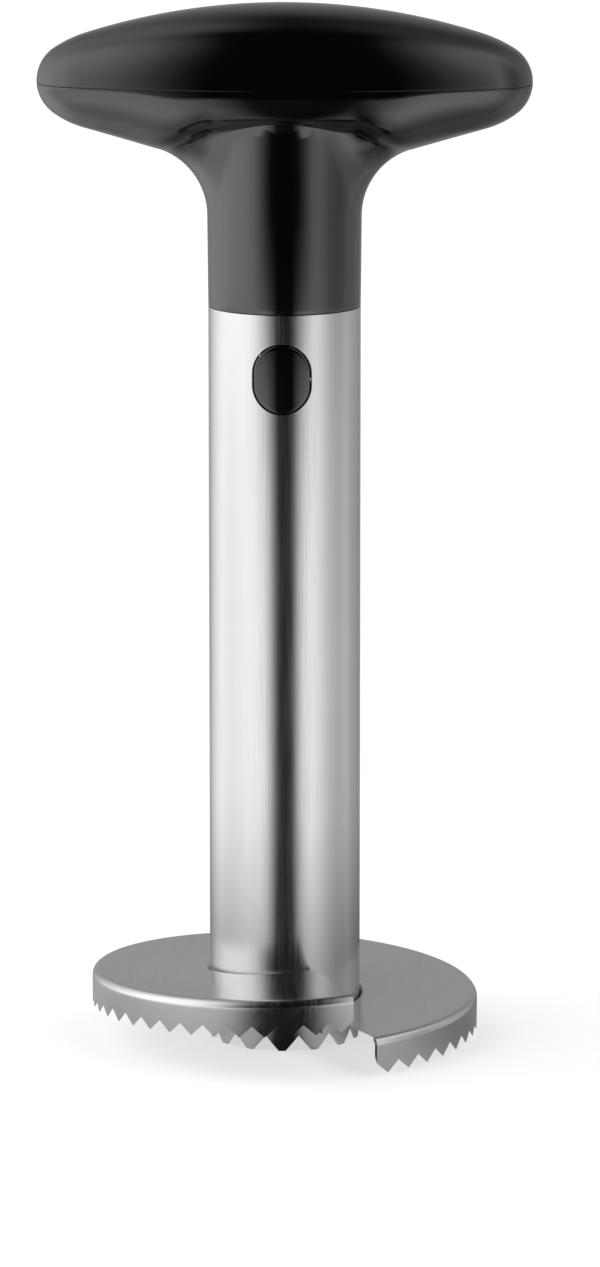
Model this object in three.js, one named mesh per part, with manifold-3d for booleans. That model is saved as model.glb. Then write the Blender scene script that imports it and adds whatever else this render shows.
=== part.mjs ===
// Hand slicer and corer: a toothed steel coring tube that carries a one-turn helical blade,
// under a black T-handle that lifts off when the two oval release buttons are pressed.
// Millimetres, +Z up along the tube, +X along the handle's arms, the front at -Y.
// The origin lies on the tube's axis, on the surface that the tube's teeth stand on.
import * as THREE from "three";
import { mergeVertices } from "three/addons/utils/BufferGeometryUtils.js";
import Module from "manifold-3d";

const wasm = await Module();
wasm.setup();

// Coring tube
const tubeRadius = 17.5;
const tubeWall = 0.8;
const tubeLength = 172;
const tubeToothDepth = 3.6;
const tubeToothTip = 1.6;
const tubeToothCount = 14;

// Oval windows in the tube, one at the front and one behind, for the release buttons
const windowWidth = 13.5;
const windowHeight = 16.1;
const windowDrop = 14.7;

// Helical blade with a toothed rim and a flange round the tube
const bladeRadius = 45;
const bladeThickness = 1;
const bladePitch = 11;
const bladeRimDepth = 8.5;
const bladeRimRound = 0.8;
const bladeToothDepth = 2.6;
const bladeFlangeDepth = 5;
const bladeEdgeThickness = 0.25;
const bladeFloorGap = 0.4;
const bladeToothCount = 48;
const bladeSlitTeeth = 1;
const bladeBevelSteps = 2;
const bladeSlitDirection = THREE.MathUtils.degToRad(-60);

// Outer form of the handle, its heights counted from the tube's mouth
const gripWidth = 113.2;
const gripDepth = 42;
const gripHeight = 69.4;
const gripSeamHeight = 51;
const gripNoseHeight = 51.5;
const gripNoseRadius = 9;
const gripNoseToUnderside = 9.78;
const gripCrownRadius = 151;
const gripShoulderRadius = 30;
const gripLowerShoulderRadius = 20;
const gripFilletRadius = 16;
const gripSideRadius = 138;
const gripUnderside = THREE.MathUtils.degToRad(15.8);
const neckFlare = 0.2;
const crownFlat = 2;

// Belly of the arms: how high it passes the neck and over what run it gets there, the powers of
// its sections by the neck and by the tips, how much of the fillet the neck has in front and how
// fast it fades from the arms, and the rounding of the crease between neck and belly.
const bellyLevel = 39.5;
const bellyRun = 14;
const bellyByNeck = 3;
const bellyByTip = 1.8;
const bellyTurnStart = 14;
const bellyTurnEnd = 40;
const frontFillet = 0.005;
const filletFocus = 7;
const creaseRounding = 2.4;
const creaseFocus = 5;

// Walls and fastenings inside the handle
const gripWall = 2.4;
const neckWall = 2.5;
const deckThickness = 5;
const deckBossHeight = 5;
const lipDepth = 2;
const lipThickness = 1.2;
const lipRoot = 1.4;
const bossRadius = 3.6;
const coverScrewSpread = 9;
const insertScrewSpread = 5.5;
const screwRadius = 1.5;
const screwHeadRadius = 2.75;
const screwHeadHeight = 2;
const screwSocketRadius = 1.2;
const screwSocketDepth = 1;
const screwTipLength = 1.2;
const coverScrewLength = 15;
const insertScrewLength = 12;

// Insert that joins the handle to the tube, and the cap that closes its lower end
const insertDepth = 31;
const insertRise = 18;
const insertWall = 2.2;
const insertCollarWall = 2;
const insertCollarDepth = 4;
const insertTopThickness = 5;
const capThickness = 2;
const capPlugDepth = 4;
const capPlugWall = 1.6;

// Release button, moulded in one with the spring arm that hangs it in the insert
const buttonProud = 0.2;
const armWidth = 9;
const armThickness = 1.6;
const armTailLength = 1.2;
const armHeadLug = 1.5;
const armHeadHeight = 1.9;
const armSwingRoom = 0.7;

// Clearances
const seatGap = 0.3;
const slideGap = 0.3;
const buttonGap = 0.4;
const buttonSwingGap = 0.9;
const armGap = 0.5;
const holeGap = 0.3;
const cutOverrun = 1;

// Facets
const roundFacets = 56;
const smallFacets = 16;
const ovalFacets = 12;
const gripEndFacets = 4;
const gripSideFacets = 9;
const bellyRings = 22;
const noseFacets = 4;
const shoulderFacets = 2;
const crownFacets = 7;
const socketSides = 6;

const steel = { color: 0xc9ccd1, roughness: 0.22, metalness: 1 };
const bladeSteel = { color: 0xbfc3c9, roughness: 0.3, metalness: 1 };
const gripPlastic = { color: 0x151517, roughness: 0.42, metalness: 0 };
const insertPlastic = { color: 0x26272a, roughness: 0.5, metalness: 0 };
const screwSteel = { color: 0x8f9399, roughness: 0.35, metalness: 1 };

// Sizes that follow from the ones above
const tubeBore = tubeRadius - tubeWall;
const mouth = tubeLength;
const windowCentre = mouth - windowDrop;
const neckBase = mouth + seatGap;
const neckBore = tubeRadius - neckWall;
const insertTop = mouth + insertRise;
const deckUnderside = insertTop + seatGap;
const deckTop = deckUnderside + deckThickness;
const seam = mouth + gripSeamHeight;
const insertRadius = tubeBore - slideGap;
const insertBore = insertRadius - insertWall;
const collarRadius = neckBore - slideGap;
const collarBore = collarRadius - insertCollarWall;
const insertBottom = mouth - insertDepth;
const bladeTopAtEdge = bladeFloorGap + bladeRimDepth;
const armFace = Math.sqrt(collarBore ** 2 - (armWidth / 2) ** 2) - armGap;

// Turns a closed three.js geometry into a solid, by merging the vertices that its faces share.
function solidOf(geometry) {
  const bare = geometry.clone();
  bare.deleteAttribute("normal");
  bare.deleteAttribute("uv");
  const merged = mergeVertices(bare);
  const corners = merged.index.array;
  const kept = [];
  for (let i = 0; i < corners.length; i += 3) {
    const [a, b, c] = corners.slice(i, i + 3);
    if (a !== b && b !== c && c !== a) kept.push(a, b, c);
  }
  return new wasm.Manifold(
    new wasm.Mesh({
      numProp: 3,
      vertProperties: new Float32Array(merged.attributes.position.array),
      triVerts: new Uint32Array(kept),
    }),
  );
}

// Gives a solid's faces back as a three.js geometry.
function geometryOf(solid) {
  const { vertProperties, triVerts } = solid.getMesh();
  return new THREE.BufferGeometry()
    .setAttribute("position", new THREE.BufferAttribute(vertProperties, 3))
    .setIndex(new THREE.BufferAttribute(triVerts, 1))
    .toNonIndexed();
}

// One named piece with its own material.
function piece(name, solid, finish) {
  const geometry = geometryOf(solid);
  geometry.computeVertexNormals();
  const mesh = new THREE.Mesh(geometry, new THREE.MeshStandardMaterial(finish));
  mesh.name = name;
  return mesh;
}

// A round rod along Z between two heights, standing at x, y.
function rod(radius, low, high, facets = roundFacets, x = 0, y = 0) {
  const geometry = new THREE.CylinderGeometry(radius, radius, high - low, facets);
  geometry.rotateX(Math.PI / 2);
  geometry.translate(x, y, (low + high) / 2);
  return solidOf(geometry);
}

// A box between two opposite corners.
function block(low, high) {
  const size = new THREE.Vector3().subVectors(high, low);
  const centre = new THREE.Vector3().addVectors(low, high).multiplyScalar(0.5);
  const geometry = new THREE.BoxGeometry(size.x, size.y, size.z);
  geometry.translate(centre.x, centre.y, centre.z);
  return solidOf(geometry);
}

// A body turned about Z, from [radius, height] pairs that run upwards on the outside.
function turned(outline, facets = roundFacets) {
  const points = outline.map(([radius, height]) => new THREE.Vector2(radius, height));
  const geometry = new THREE.LatheGeometry(points, facets);
  geometry.rotateX(Math.PI / 2);
  return solidOf(geometry);
}

// An upright oval with round ends, extruded along Y from front to back.
function ovalBar(width, height, centre, front, back) {
  const radius = width / 2;
  const straight = height / 2 - radius;
  const shape = new THREE.Shape();
  shape.moveTo(radius, -straight);
  shape.lineTo(radius, straight);
  shape.absarc(0, straight, radius, 0, Math.PI);
  shape.lineTo(-radius, -straight);
  shape.absarc(0, -straight, radius, Math.PI, 2 * Math.PI);
  const depth = back - front;
  const geometry = new THREE.ExtrudeGeometry(shape, {
    depth,
    bevelEnabled: false,
    curveSegments: ovalFacets,
  });
  geometry.rotateX(Math.PI / 2);
  geometry.translate(0, back, centre);
  return solidOf(geometry);
}

// Joins a row of equal closed loops into one skin and closes both ends. The loops run
// anticlockwise as seen from the last one, and flatten gives a loop's point in its own plane.
function loft(loops, flatten) {
  const count = loops[0].length;
  const positions = loops.flat().flatMap((point) => [point.x, point.y, point.z]);
  const faces = [];
  for (let row = 0; row + 1 < loops.length; row++) {
    for (let i = 0; i < count; i++) {
      const here = row * count + i;
      const next = row * count + ((i + 1) % count);
      faces.push(here, next, next + count);
      faces.push(here, next + count, here + count);
    }
  }
  const last = (loops.length - 1) * count;
  const closed = (loop) => THREE.ShapeUtils.triangulateShape(loop.map(flatten), []);
  for (const [a, b, c] of closed(loops[0])) faces.push(c, b, a);
  for (const [a, b, c] of closed(loops.at(-1))) faces.push(last + a, last + b, last + c);
  const geometry = new THREE.BufferGeometry();
  geometry.setAttribute("position", new THREE.Float32BufferAttribute(positions, 3));
  geometry.setIndex(faces);
  return geometry;
}

// A copy of a solid turned by half a turn about the tube's axis, from the front to the back.
function behind(solid) {
  return solid.rotate([0, 0, THREE.MathUtils.radToDeg(Math.PI)]);
}

// Coring tube: a plain round tube with two oval windows and a ring of teeth at its foot.
function coringTube() {
  let tube = turned([
    [tubeBore, 0],
    [tubeRadius, 0],
    [tubeRadius, tubeLength],
    [tubeBore, tubeLength],
    [tubeBore, 0],
  ]);
  const opening = ovalBar(
    windowWidth,
    windowHeight,
    windowCentre,
    -tubeRadius - cutOverrun,
    -tubeBore / 2,
  );
  tube = tube.subtract(opening).subtract(behind(opening));
  const step = (2 * Math.PI) / tubeToothCount;
  const notchHalf = tubeRadius * Math.tan(step / 2) - tubeToothTip / 2;
  const notchFoot = notchHalf * (1 + cutOverrun / tubeToothDepth);
  const notch = new THREE.Shape();
  notch.moveTo(-notchFoot, -cutOverrun);
  notch.lineTo(notchFoot, -cutOverrun);
  notch.lineTo(0, tubeToothDepth);
  for (let i = 0; i < tubeToothCount; i++) {
    const cutter = new THREE.ExtrudeGeometry(notch, {
      depth: tubeRadius,
      bevelEnabled: false,
    });
    cutter.rotateX(Math.PI / 2);
    cutter.translate(0, -tubeBore / 2, 0);
    cutter.rotateZ((i + 0.5) * step);
    tube = tube.subtract(solidOf(cutter));
  }
  return tube;
}

// Section of the blade at one step of its turn: flange, plate and toothed rim, as x, y, z points.
// A tooth is two steps long, its point on the odd step.
function bladeSection(index) {
  const turn = (index * Math.PI) / bladeToothCount;
  const top = bladeTopAtEdge + (bladePitch * turn) / (2 * Math.PI);
  const bevel = Math.min(index / bladeBevelSteps, 1);
  const plate = THREE.MathUtils.lerp(bladeEdgeThickness, bladeThickness, bevel);
  const rimFoot = bladeRimDepth - (index % 2 ? 0 : bladeToothDepth);
  const inner = tubeRadius + slideGap;
  const rimInside = bladeRadius - bladeThickness;
  const outline = [
    [inner, 0],
    [bladeRadius - bladeRimRound, 0],
    [bladeRadius, -bladeRimRound],
    [bladeRadius, -rimFoot],
    [rimInside, bladeThickness - rimFoot],
    [rimInside, -plate],
    [inner + bladeThickness, -plate],
    [inner + bladeThickness, -bladeFlangeDepth],
    [inner, -bladeFlangeDepth],
  ];
  const azimuth = bladeSlitDirection + turn;
  return outline.map(
    ([radius, height]) =>
      new THREE.Vector3(
        radius * Math.cos(azimuth),
        radius * Math.sin(azimuth),
        top + height,
      ),
  );
}

// Slicing blade: one turn of a right-hand helix from the low cutting edge to the high trailing end.
function slicingBlade() {
  const steps = 2 * (bladeToothCount - bladeSlitTeeth);
  const sections = Array.from({ length: steps + 1 }, (_, index) => bladeSection(index));
  const flatten = (point) => new THREE.Vector2(point.z, Math.hypot(point.x, point.y));
  return solidOf(loft(sections, flatten));
}

// Points along an arc of radius r about a centre, both ends included.
function arc(centre, radius, from, to, steps) {
  return Array.from({ length: steps + 1 }, (_, i) => {
    const angle = from + ((to - from) * i) / steps;
    return [centre[0] + radius * Math.cos(angle), centre[1] + radius * Math.sin(angle)];
  });
}

// Centres of the arcs that make up the front view of one handle arm, as [radius, height] with
// heights from the tube's mouth. Each arc is tangent to its neighbours.
function armCentres() {
  const nose = [gripWidth / 2 - gripNoseRadius, gripNoseHeight];
  const crown = [0, gripHeight - gripCrownRadius];
  const [dx, dz] = [nose[0] - crown[0], nose[1] - crown[1]];
  const apart = Math.hypot(dx, dz);
  const toShoulder = gripCrownRadius - gripShoulderRadius;
  const fromNose = gripShoulderRadius - gripNoseRadius;
  const along = (toShoulder ** 2 - fromNose ** 2 + apart ** 2) / (2 * apart);
  const aside = Math.sqrt(Math.max(toShoulder ** 2 - along ** 2, 0));
  const shoulder = [
    crown[0] + (along * dx - aside * dz) / apart,
    crown[1] + (along * dz + aside * dx) / apart,
  ];
  const [sine, cosine] = [Math.sin(gripUnderside), Math.cos(gripUnderside)];
  const rise = gripLowerShoulderRadius - gripNoseToUnderside;
  const reach = gripLowerShoulderRadius - gripNoseRadius;
  const back = Math.sqrt(Math.max(reach ** 2 - rise ** 2, 0));
  const lowerShoulder = [
    nose[0] - rise * sine - back * cosine,
    nose[1] + rise * cosine - back * sine,
  ];
  const filletX = tubeRadius + neckFlare + gripFilletRadius;
  const below = gripNoseToUnderside + gripFilletRadius;
  const foot = [nose[0] + below * sine, nose[1] - below * cosine];
  const fillet = [filletX, foot[1] + (filletX - foot[0]) * Math.tan(gripUnderside)];
  return { nose, crown, shoulder, lowerShoulder, fillet };
}

const centres = armCentres();
const directionOf = (from, to) => Math.atan2(to[1] - from[1], to[0] - from[0]);

// Height of the straight underside at a distance from the axis, carried on both ways.
function undersideHeight(radius, inset) {
  const filletRadius = gripFilletRadius + inset;
  const start = centres.fillet[0] - filletRadius * Math.sin(gripUnderside);
  const height = centres.fillet[1] + filletRadius * Math.cos(gripUnderside);
  return height + (radius - start) * Math.tan(gripUnderside);
}

// Height of the arm's lowest line at a distance from the axis, drawn in by inset: the neck's
// fillet, the straight underside, the lower shoulder and the nose.
function armHeight(radius, inset) {
  const { nose, lowerShoulder, fillet } = centres;
  const filletRadius = gripFilletRadius + inset;
  const shoulderRadius = gripLowerShoulderRadius - inset;
  const noseRadius = gripNoseRadius - inset;
  const sine = Math.sin(gripUnderside);
  const join = directionOf(lowerShoulder, nose);
  const rise = (centre, size) => Math.sqrt(Math.max(size ** 2 - (radius - centre[0]) ** 2, 0));
  if (radius < fillet[0] - filletRadius * sine) return fillet[1] + rise(fillet, filletRadius);
  if (radius < lowerShoulder[0] + shoulderRadius * sine) return undersideHeight(radius, inset);
  if (radius < nose[0] + noseRadius * Math.cos(join)) {
    return lowerShoulder[1] - rise(lowerShoulder, shoulderRadius);
  }
  return nose[1] - rise(nose, noseRadius);
}

// Lowest line of the arms alone: the arm's own, but level where it passes the neck.
function bellyLine(across, inset) {
  const start = centres.fillet[0] - (gripFilletRadius + inset) * Math.sin(gripUnderside);
  if (across > start) return armHeight(across, inset);
  const share = THREE.MathUtils.smoothstep(start - across, 0, bellyRun);
  return THREE.MathUtils.lerp(undersideHeight(across, inset), bellyLevel + inset, share);
}

// Height of the arm's highest line at a distance from the axis, drawn in by inset: the crown, the
// shoulder and the nose.
function crownHeight(radius, inset) {
  const { nose, crown, shoulder } = centres;
  const crownRadius = gripCrownRadius - inset;
  const shoulderRadius = gripShoulderRadius - inset;
  const crownJoin = directionOf(crown, shoulder);
  const join = directionOf(shoulder, nose);
  const rise = (centre, size) => Math.sqrt(Math.max(size ** 2 - (radius - centre[0]) ** 2, 0));
  if (radius < crownRadius * Math.cos(crownJoin)) return crown[1] + rise(crown, crownRadius);
  if (radius < shoulder[0] + shoulderRadius * Math.cos(join)) {
    return shoulder[1] + rise(shoulder, shoulderRadius);
  }
  return nose[1] + rise(nose, gripNoseRadius - inset);
}

// Front outline of one arm from the seam to the small flat top of the crown, drawn in by inset.
function upperArm(inset) {
  const { nose, crown, shoulder } = centres;
  const noseRadius = gripNoseRadius - inset;
  const atSeam = Math.asin((gripSeamHeight - nose[1]) / noseRadius);
  const join = directionOf(shoulder, nose);
  const crownJoin = directionOf(crown, shoulder);
  const crownEnd = Math.acos(crownFlat / gripCrownRadius);
  return [
    ...arc(nose, noseRadius, atSeam, join, noseFacets),
    ...arc(shoulder, gripShoulderRadius - inset, join, crownJoin, shoulderFacets).slice(1),
    ...arc(crown, gripCrownRadius - inset, crownJoin, crownEnd, crownFacets).slice(1),
  ];
}

// Plan of the handle, a lens with round ends: its long sides are arcs of gripSideRadius, and its
// end radius is the one that touches them and the handle's width.
const planHalf = gripWidth / 2;
const planCentre = gripSideRadius - gripDepth / 2;
const planEndRadius =
  (gripSideRadius ** 2 - planCentre ** 2 - planHalf ** 2) / (2 * (gripSideRadius - planHalf));
const planEndCentre = planHalf - planEndRadius;
const planEndTurn = Math.atan2(planCentre, planEndCentre);

// Distance from the axis to the plan's outline in one direction of the first quarter.
function planReach(direction, inset) {
  const side = gripSideRadius - inset;
  const end = planEndRadius - inset;
  const joinX = side * Math.cos(planEndTurn);
  const joinY = side * Math.sin(planEndTurn) - planCentre;
  if (direction > Math.atan2(joinY, joinX)) {
    const across = planCentre * Math.sin(direction);
    return Math.sqrt(across ** 2 - planCentre ** 2 + side ** 2) - across;
  }
  const along = planEndCentre * Math.cos(direction);
  return along + Math.sqrt(Math.max(along ** 2 - planEndCentre ** 2 + end ** 2, 0));
}

// Half the plan's depth at a distance along the arms, from its side arc or its end arc.
function planHalfDepth(across, inset) {
  const side = gripSideRadius - inset;
  const end = planEndRadius - inset;
  if (across < side * Math.cos(planEndTurn)) return Math.sqrt(side ** 2 - across ** 2) - planCentre;
  return Math.sqrt(Math.max(end ** 2 - (across - planEndCentre) ** 2, cutOverrun ** 2));
}

// Directions, over a full turn, in which the handle's rings have their corners.
function planDirections() {
  const quarter = [];
  for (let i = 0; i < gripEndFacets; i++) {
    const turn = (planEndTurn * i) / gripEndFacets;
    const x = planEndCentre + planEndRadius * Math.cos(turn);
    quarter.push(Math.atan2(planEndRadius * Math.sin(turn), x));
  }
  const joinX = gripSideRadius * Math.cos(planEndTurn);
  const joinY = gripSideRadius * Math.sin(planEndTurn) - planCentre;
  const join = Math.atan2(joinY, joinX);
  for (let i = 0; i < gripSideFacets; i++) {
    quarter.push(join + ((Math.PI / 2 - join) * i) / gripSideFacets);
  }
  const mirrored = [...quarter.slice(1), Math.PI / 2].reverse().map((a) => Math.PI - a);
  const half = [...quarter, Math.PI / 2, ...mirrored.slice(1)];
  return [...half, ...half.map((a) => a + Math.PI)];
}

const directions = planDirections();

// The first-quarter direction that matches one of a full turn.
function folded(direction) {
  return Math.atan2(Math.abs(Math.sin(direction)), Math.abs(Math.cos(direction)));
}

// One ring of the handle, with its radius given by direction, and its height from the tube's
// mouth given as a length or by radius and direction.
function gripRing(height, radiusIn) {
  return directions.map((direction) => {
    const turn = folded(direction);
    const radius = radiusIn(turn);
    const rise = typeof height === "function" ? height(radius, turn) : height;
    return new THREE.Vector3(
      radius * Math.cos(direction),
      radius * Math.sin(direction),
      mouth + rise,
    );
  });
}

const flatPlan = (point) => new THREE.Vector2(point.x, point.y);

// Height of the handle's underside at a radius in a direction. The belly's depth under the seam is
// its middle line's times one less the square of the share of the half depth, to a power. The neck
// runs up into it, flared by the fillet, and a smooth minimum joins the two.
function undersideAt(radius, direction, inset) {
  const across = radius * Math.cos(direction);
  const aside = radius * Math.sin(direction);
  const depth = Math.max(gripSeamHeight - bellyLine(across, inset), 0);
  const turn = THREE.MathUtils.smoothstep(across, bellyTurnStart, bellyTurnEnd);
  const power = THREE.MathUtils.lerp(bellyByNeck, bellyByTip, turn);
  const within = Math.max(1 - (aside / planHalfDepth(across, inset)) ** 2, 0);
  const belly = gripSeamHeight - depth * within ** (1 / power);
  const neck = tubeRadius + neckFlare - inset;
  const reach = THREE.MathUtils.lerp(frontFillet, 1, Math.cos(direction) ** filletFocus);
  const along = neck + (radius - neck) / reach;
  const flared = armHeight(along, inset) + Math.max(along - planHalf, 0);
  const crease = creaseRounding * (1 - Math.cos(direction) ** creaseFocus);
  return (belly + flared - Math.hypot(belly - flared, crease)) / 2;
}

// Solid under the seam: the round neck, then the underside in rings from the neck to the seam.
function lowerForm(inset) {
  const neck = tubeRadius + neckFlare - inset;
  const underside = (radius, direction) => undersideAt(radius, direction, inset);
  const rings = Array.from({ length: bellyRings }, (_, i) => {
    const share = (1 - Math.cos((Math.PI * i) / bellyRings)) / 2;
    return gripRing(underside, (direction) =>
      THREE.MathUtils.lerp(neck, planReach(direction, inset), share),
    );
  });
  const foot = gripRing(seatGap, () => tubeRadius - inset);
  const edge = gripRing(gripSeamHeight, (direction) => planReach(direction, inset));
  return solidOf(loft([foot, ...rings, edge], flatPlan));
}

// Solid over the seam: rings of the plan's shape, each point raised so that a section across an
// arm is a half ellipse under the arm's highest line.
function upperForm(inset) {
  const tip = gripWidth / 2 - inset;
  const crownAt = (radius, direction) => {
    const across = radius * Math.cos(direction);
    const aside = radius * Math.sin(direction);
    const within = Math.max(1 - (aside / planHalfDepth(across, inset)) ** 2, 0);
    return gripNoseHeight + (crownHeight(across, inset) - gripNoseHeight) * Math.sqrt(within);
  };
  const rings = upperArm(inset).map(([radius, level]) => {
    const height = level > gripNoseHeight ? crownAt : level;
    return gripRing(height, (direction) => (planReach(direction, inset) * radius) / tip);
  });
  return solidOf(loft(rings, flatPlan));
}

// A slab with the handle's plan between two heights from the mouth, drawn in by inset.
function planSlab(inset, low, high) {
  const ring = (height) => gripRing(height, (direction) => planReach(direction, inset));
  return solidOf(loft([ring(low), ring(high)], flatPlan));
}

// Places of a pair of screws: along X for the cover's, along Y for the insert's.
const coverScrewPlaces = [-coverScrewSpread, coverScrewSpread].map((x) => [x, 0]);
const insertScrewPlaces = [-insertScrewSpread, insertScrewSpread].map((y) => [0, y]);
const coverHeadSeat = deckUnderside + screwHeadHeight + seatGap;
const insertHeadSeat = insertTop - insertTopThickness;

// Lower half of the handle: the arms' lower shell, the neck, and a deck across the neck's top
// that takes the screws of the cover and of the insert.
function gripBase() {
  let base = lowerForm(0);
  const wide = gripWidth;
  const aboveDeck = block(
    new THREE.Vector3(-wide, -wide, deckTop),
    new THREE.Vector3(wide, wide, seam + gripHeight),
  );
  base = base.subtract(lowerForm(gripWall).intersect(aboveDeck));
  const mouthRing = planSlab(gripWall, gripSeamHeight - lipRoot / 2, gripSeamHeight + cutOverrun);
  base = base.subtract(mouthRing);
  base = base.subtract(rod(neckBore, neckBase - cutOverrun, deckUnderside));
  for (const [x, y] of insertScrewPlaces) {
    const top = deckTop + deckBossHeight;
    base = base.add(rod(bossRadius, deckUnderside + seatGap, top, smallFacets, x, y));
    const tip = insertHeadSeat + insertScrewLength + holeGap;
    const pilot = rod(screwRadius + holeGap, neckBase, tip, smallFacets, x, y);
    base = base.subtract(pilot);
  }
  for (const [x, y] of coverScrewPlaces) {
    const hole = rod(screwRadius + holeGap, neckBase, seam, smallFacets, x, y);
    const sink = rod(screwHeadRadius + holeGap, neckBase, coverHeadSeat, smallFacets, x, y);
    base = base.subtract(hole).subtract(sink);
  }
  return base;
}

// Upper half of the handle: the crown's shell, a lip that enters the base, and two screw bosses.
function gripCover() {
  const crown = upperForm(0);
  const lipCurve = gripWidth / 2 - radiusAtHeight(gripSeamHeight - lipDepth);
  const lipInset = gripWall + seatGap + lipCurve;
  const lipInside = lipInset + lipThickness;
  const rootHeight = gripSeamHeight + lipRoot;
  let cover = crown.subtract(upperForm(gripWall));
  const root = planSlab(gripWall / 2, gripSeamHeight, rootHeight);
  const lip = planSlab(lipInset, gripSeamHeight - lipDepth, rootHeight);
  const inside = planSlab(lipInside, gripSeamHeight - lipDepth - cutOverrun, rootHeight + cutOverrun);
  cover = cover.add(root.add(lip).subtract(inside));
  for (const [x, y] of coverScrewPlaces) {
    const low = deckTop + seatGap;
    const boss = rod(bossRadius, low, seam + gripHeight, smallFacets, x, y);
    const kept = boss.intersect(upperForm(gripWall / 2).add(rod(gripDepth / 2, low, seam)));
    const tip = coverHeadSeat + coverScrewLength + holeGap;
    const pilot = rod(screwRadius + holeGap, low - cutOverrun, tip, smallFacets, x, y);
    cover = cover.add(kept).subtract(pilot);
  }
  const gap = planSlab(-cutOverrun, gripSeamHeight - cutOverrun, gripSeamHeight + seatGap);
  const core = planSlab(lipInset, gripSeamHeight - 2 * cutOverrun, gripSeamHeight + cutOverrun);
  return cover.subtract(gap.subtract(core));
}

// Radius of the arm's front outline at a height on its nose.
function radiusAtHeight(height) {
  const rise = height - centres.nose[1];
  return centres.nose[0] + Math.sqrt(gripNoseRadius ** 2 - rise ** 2);
}

// Screw with a socket head, pointing up from the height where its head bears.
function screw(seat, length, [x, y]) {
  const shank = turned(
    [
      [0, seat - screwHeadHeight - seatGap],
      [screwHeadRadius, seat - screwHeadHeight - seatGap],
      [screwHeadRadius, seat - seatGap],
      [screwRadius, seat - seatGap],
      [screwRadius, seat + length - screwTipLength],
      [0, seat + length],
    ],
    smallFacets,
  );
  const floor = seat - screwHeadHeight - seatGap;
  const socket = rod(screwSocketRadius, floor - cutOverrun, floor + screwSocketDepth, socketSides);
  return shank.subtract(socket).translate([x, y, 0]);
}

// Insert: a closed-top plastic sleeve, the collar in the neck and the wider skirt in the tube,
// with a window and an arm slot for each release button.
function tubeInsert() {
  const under = insertTop - insertTopThickness;
  const step = mouth - insertCollarDepth;
  let insert = turned([
    [0, under],
    [collarBore, under],
    [collarBore, step],
    [insertBore, step],
    [insertBore, insertBottom],
    [insertRadius, insertBottom],
    [insertRadius, mouth],
    [collarRadius, mouth],
    [collarRadius, insertTop],
    [0, insertTop],
  ]);
  const opening = ovalBar(
    windowWidth - 2 * buttonGap + 2 * buttonSwingGap,
    windowHeight - 2 * buttonGap + 2 * buttonSwingGap,
    windowCentre,
    -tubeRadius - cutOverrun,
    -tubeBore / 2,
  );
  const half = armWidth / 2 + holeGap;
  const outer = -armFace - holeGap;
  const inner = outer + armThickness + 2 * holeGap;
  const slot = block(
    new THREE.Vector3(-half, outer, under - cutOverrun),
    new THREE.Vector3(half, inner + armSwingRoom - holeGap, insertTop + cutOverrun),
  );
  const shelf = insertTop - seatGap - armHeadHeight - holeGap;
  const recess = block(
    new THREE.Vector3(-half - armHeadLug, outer, shelf),
    new THREE.Vector3(half + armHeadLug, inner, insertTop + cutOverrun),
  );
  const cuts = opening.add(slot).add(recess);
  insert = insert.subtract(cuts).subtract(behind(cuts));
  for (const [x, y] of insertScrewPlaces) {
    const top = insertTop + cutOverrun;
    insert = insert.subtract(rod(screwRadius + holeGap, under - cutOverrun, top, smallFacets, x, y));
  }
  return insert;
}

// Cap: a shallow plug that closes the insert's lower end.
function insertCap() {
  const low = insertBottom - seatGap - capThickness;
  const plug = insertBore - slideGap;
  return turned([
    [0, low],
    [insertRadius, low],
    [insertRadius, insertBottom - seatGap],
    [plug, insertBottom - seatGap],
    [plug, insertBottom + capPlugDepth],
    [plug - capPlugWall, insertBottom + capPlugDepth],
    [plug - capPlugWall, insertBottom - seatGap],
    [0, insertBottom - seatGap],
  ]);
}

// Release button: an oval pad, flush with the tube, on a flat arm with a cross head at its top.
function releaseButton() {
  const padHeight = windowHeight - 2 * buttonGap;
  const bar = ovalBar(
    windowWidth - 2 * buttonGap,
    padHeight,
    windowCentre,
    -tubeRadius - cutOverrun,
    -armFace + armThickness / 2,
  );
  const pad = bar.intersect(rod(tubeRadius + buttonProud, mouth - insertDepth, mouth));
  const headTop = insertTop - seatGap;
  const headLow = headTop - armHeadHeight;
  const arm = block(
    new THREE.Vector3(-armWidth / 2, -armFace, windowCentre - padHeight / 2 - armTailLength),
    new THREE.Vector3(armWidth / 2, -armFace + armThickness, headTop),
  );
  const head = block(
    new THREE.Vector3(-armWidth / 2 - armHeadLug, -armFace, headLow),
    new THREE.Vector3(armWidth / 2 + armHeadLug, -armFace + armThickness, headTop),
  );
  return pad.add(arm).add(head);
}

const cutter = new THREE.Group();
cutter.add(piece("core_tube", coringTube(), steel));
cutter.add(piece("slicing_blade", slicingBlade(), bladeSteel));

const handle = new THREE.Group();
handle.add(piece("grip_base", gripBase(), gripPlastic));
handle.add(piece("grip_cover", gripCover(), gripPlastic));
handle.add(piece("tube_insert", tubeInsert(), insertPlastic));
handle.add(piece("insert_cap", insertCap(), insertPlastic));
["left", "right"].forEach((side, i) => {
  const fixing = screw(coverHeadSeat, coverScrewLength, coverScrewPlaces[i]);
  handle.add(piece(`cover_screw_${side}`, fixing, screwSteel));
});
["front", "rear"].forEach((side, i) => {
  const fixing = screw(insertHeadSeat, insertScrewLength, insertScrewPlaces[i]);
  handle.add(piece(`insert_screw_${side}`, fixing, screwSteel));
  const button = piece(`release_button_${side}`, releaseButton(), gripPlastic);
  button.rotation.z = i * Math.PI;
  handle.add(button);
});

const slicer = new THREE.Group();
slicer.add(cutter, handle);

export default slicer;
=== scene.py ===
"""Looks of a hand slicer and corer: coring tube, helical blade, T-handle and release buttons.

Every length in a class is a real size in millimetres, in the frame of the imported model: +Z runs up
along the tube, +X along the handle's arms and -Y is the front. Meshes are written in metres.
"""

from __future__ import annotations

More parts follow.
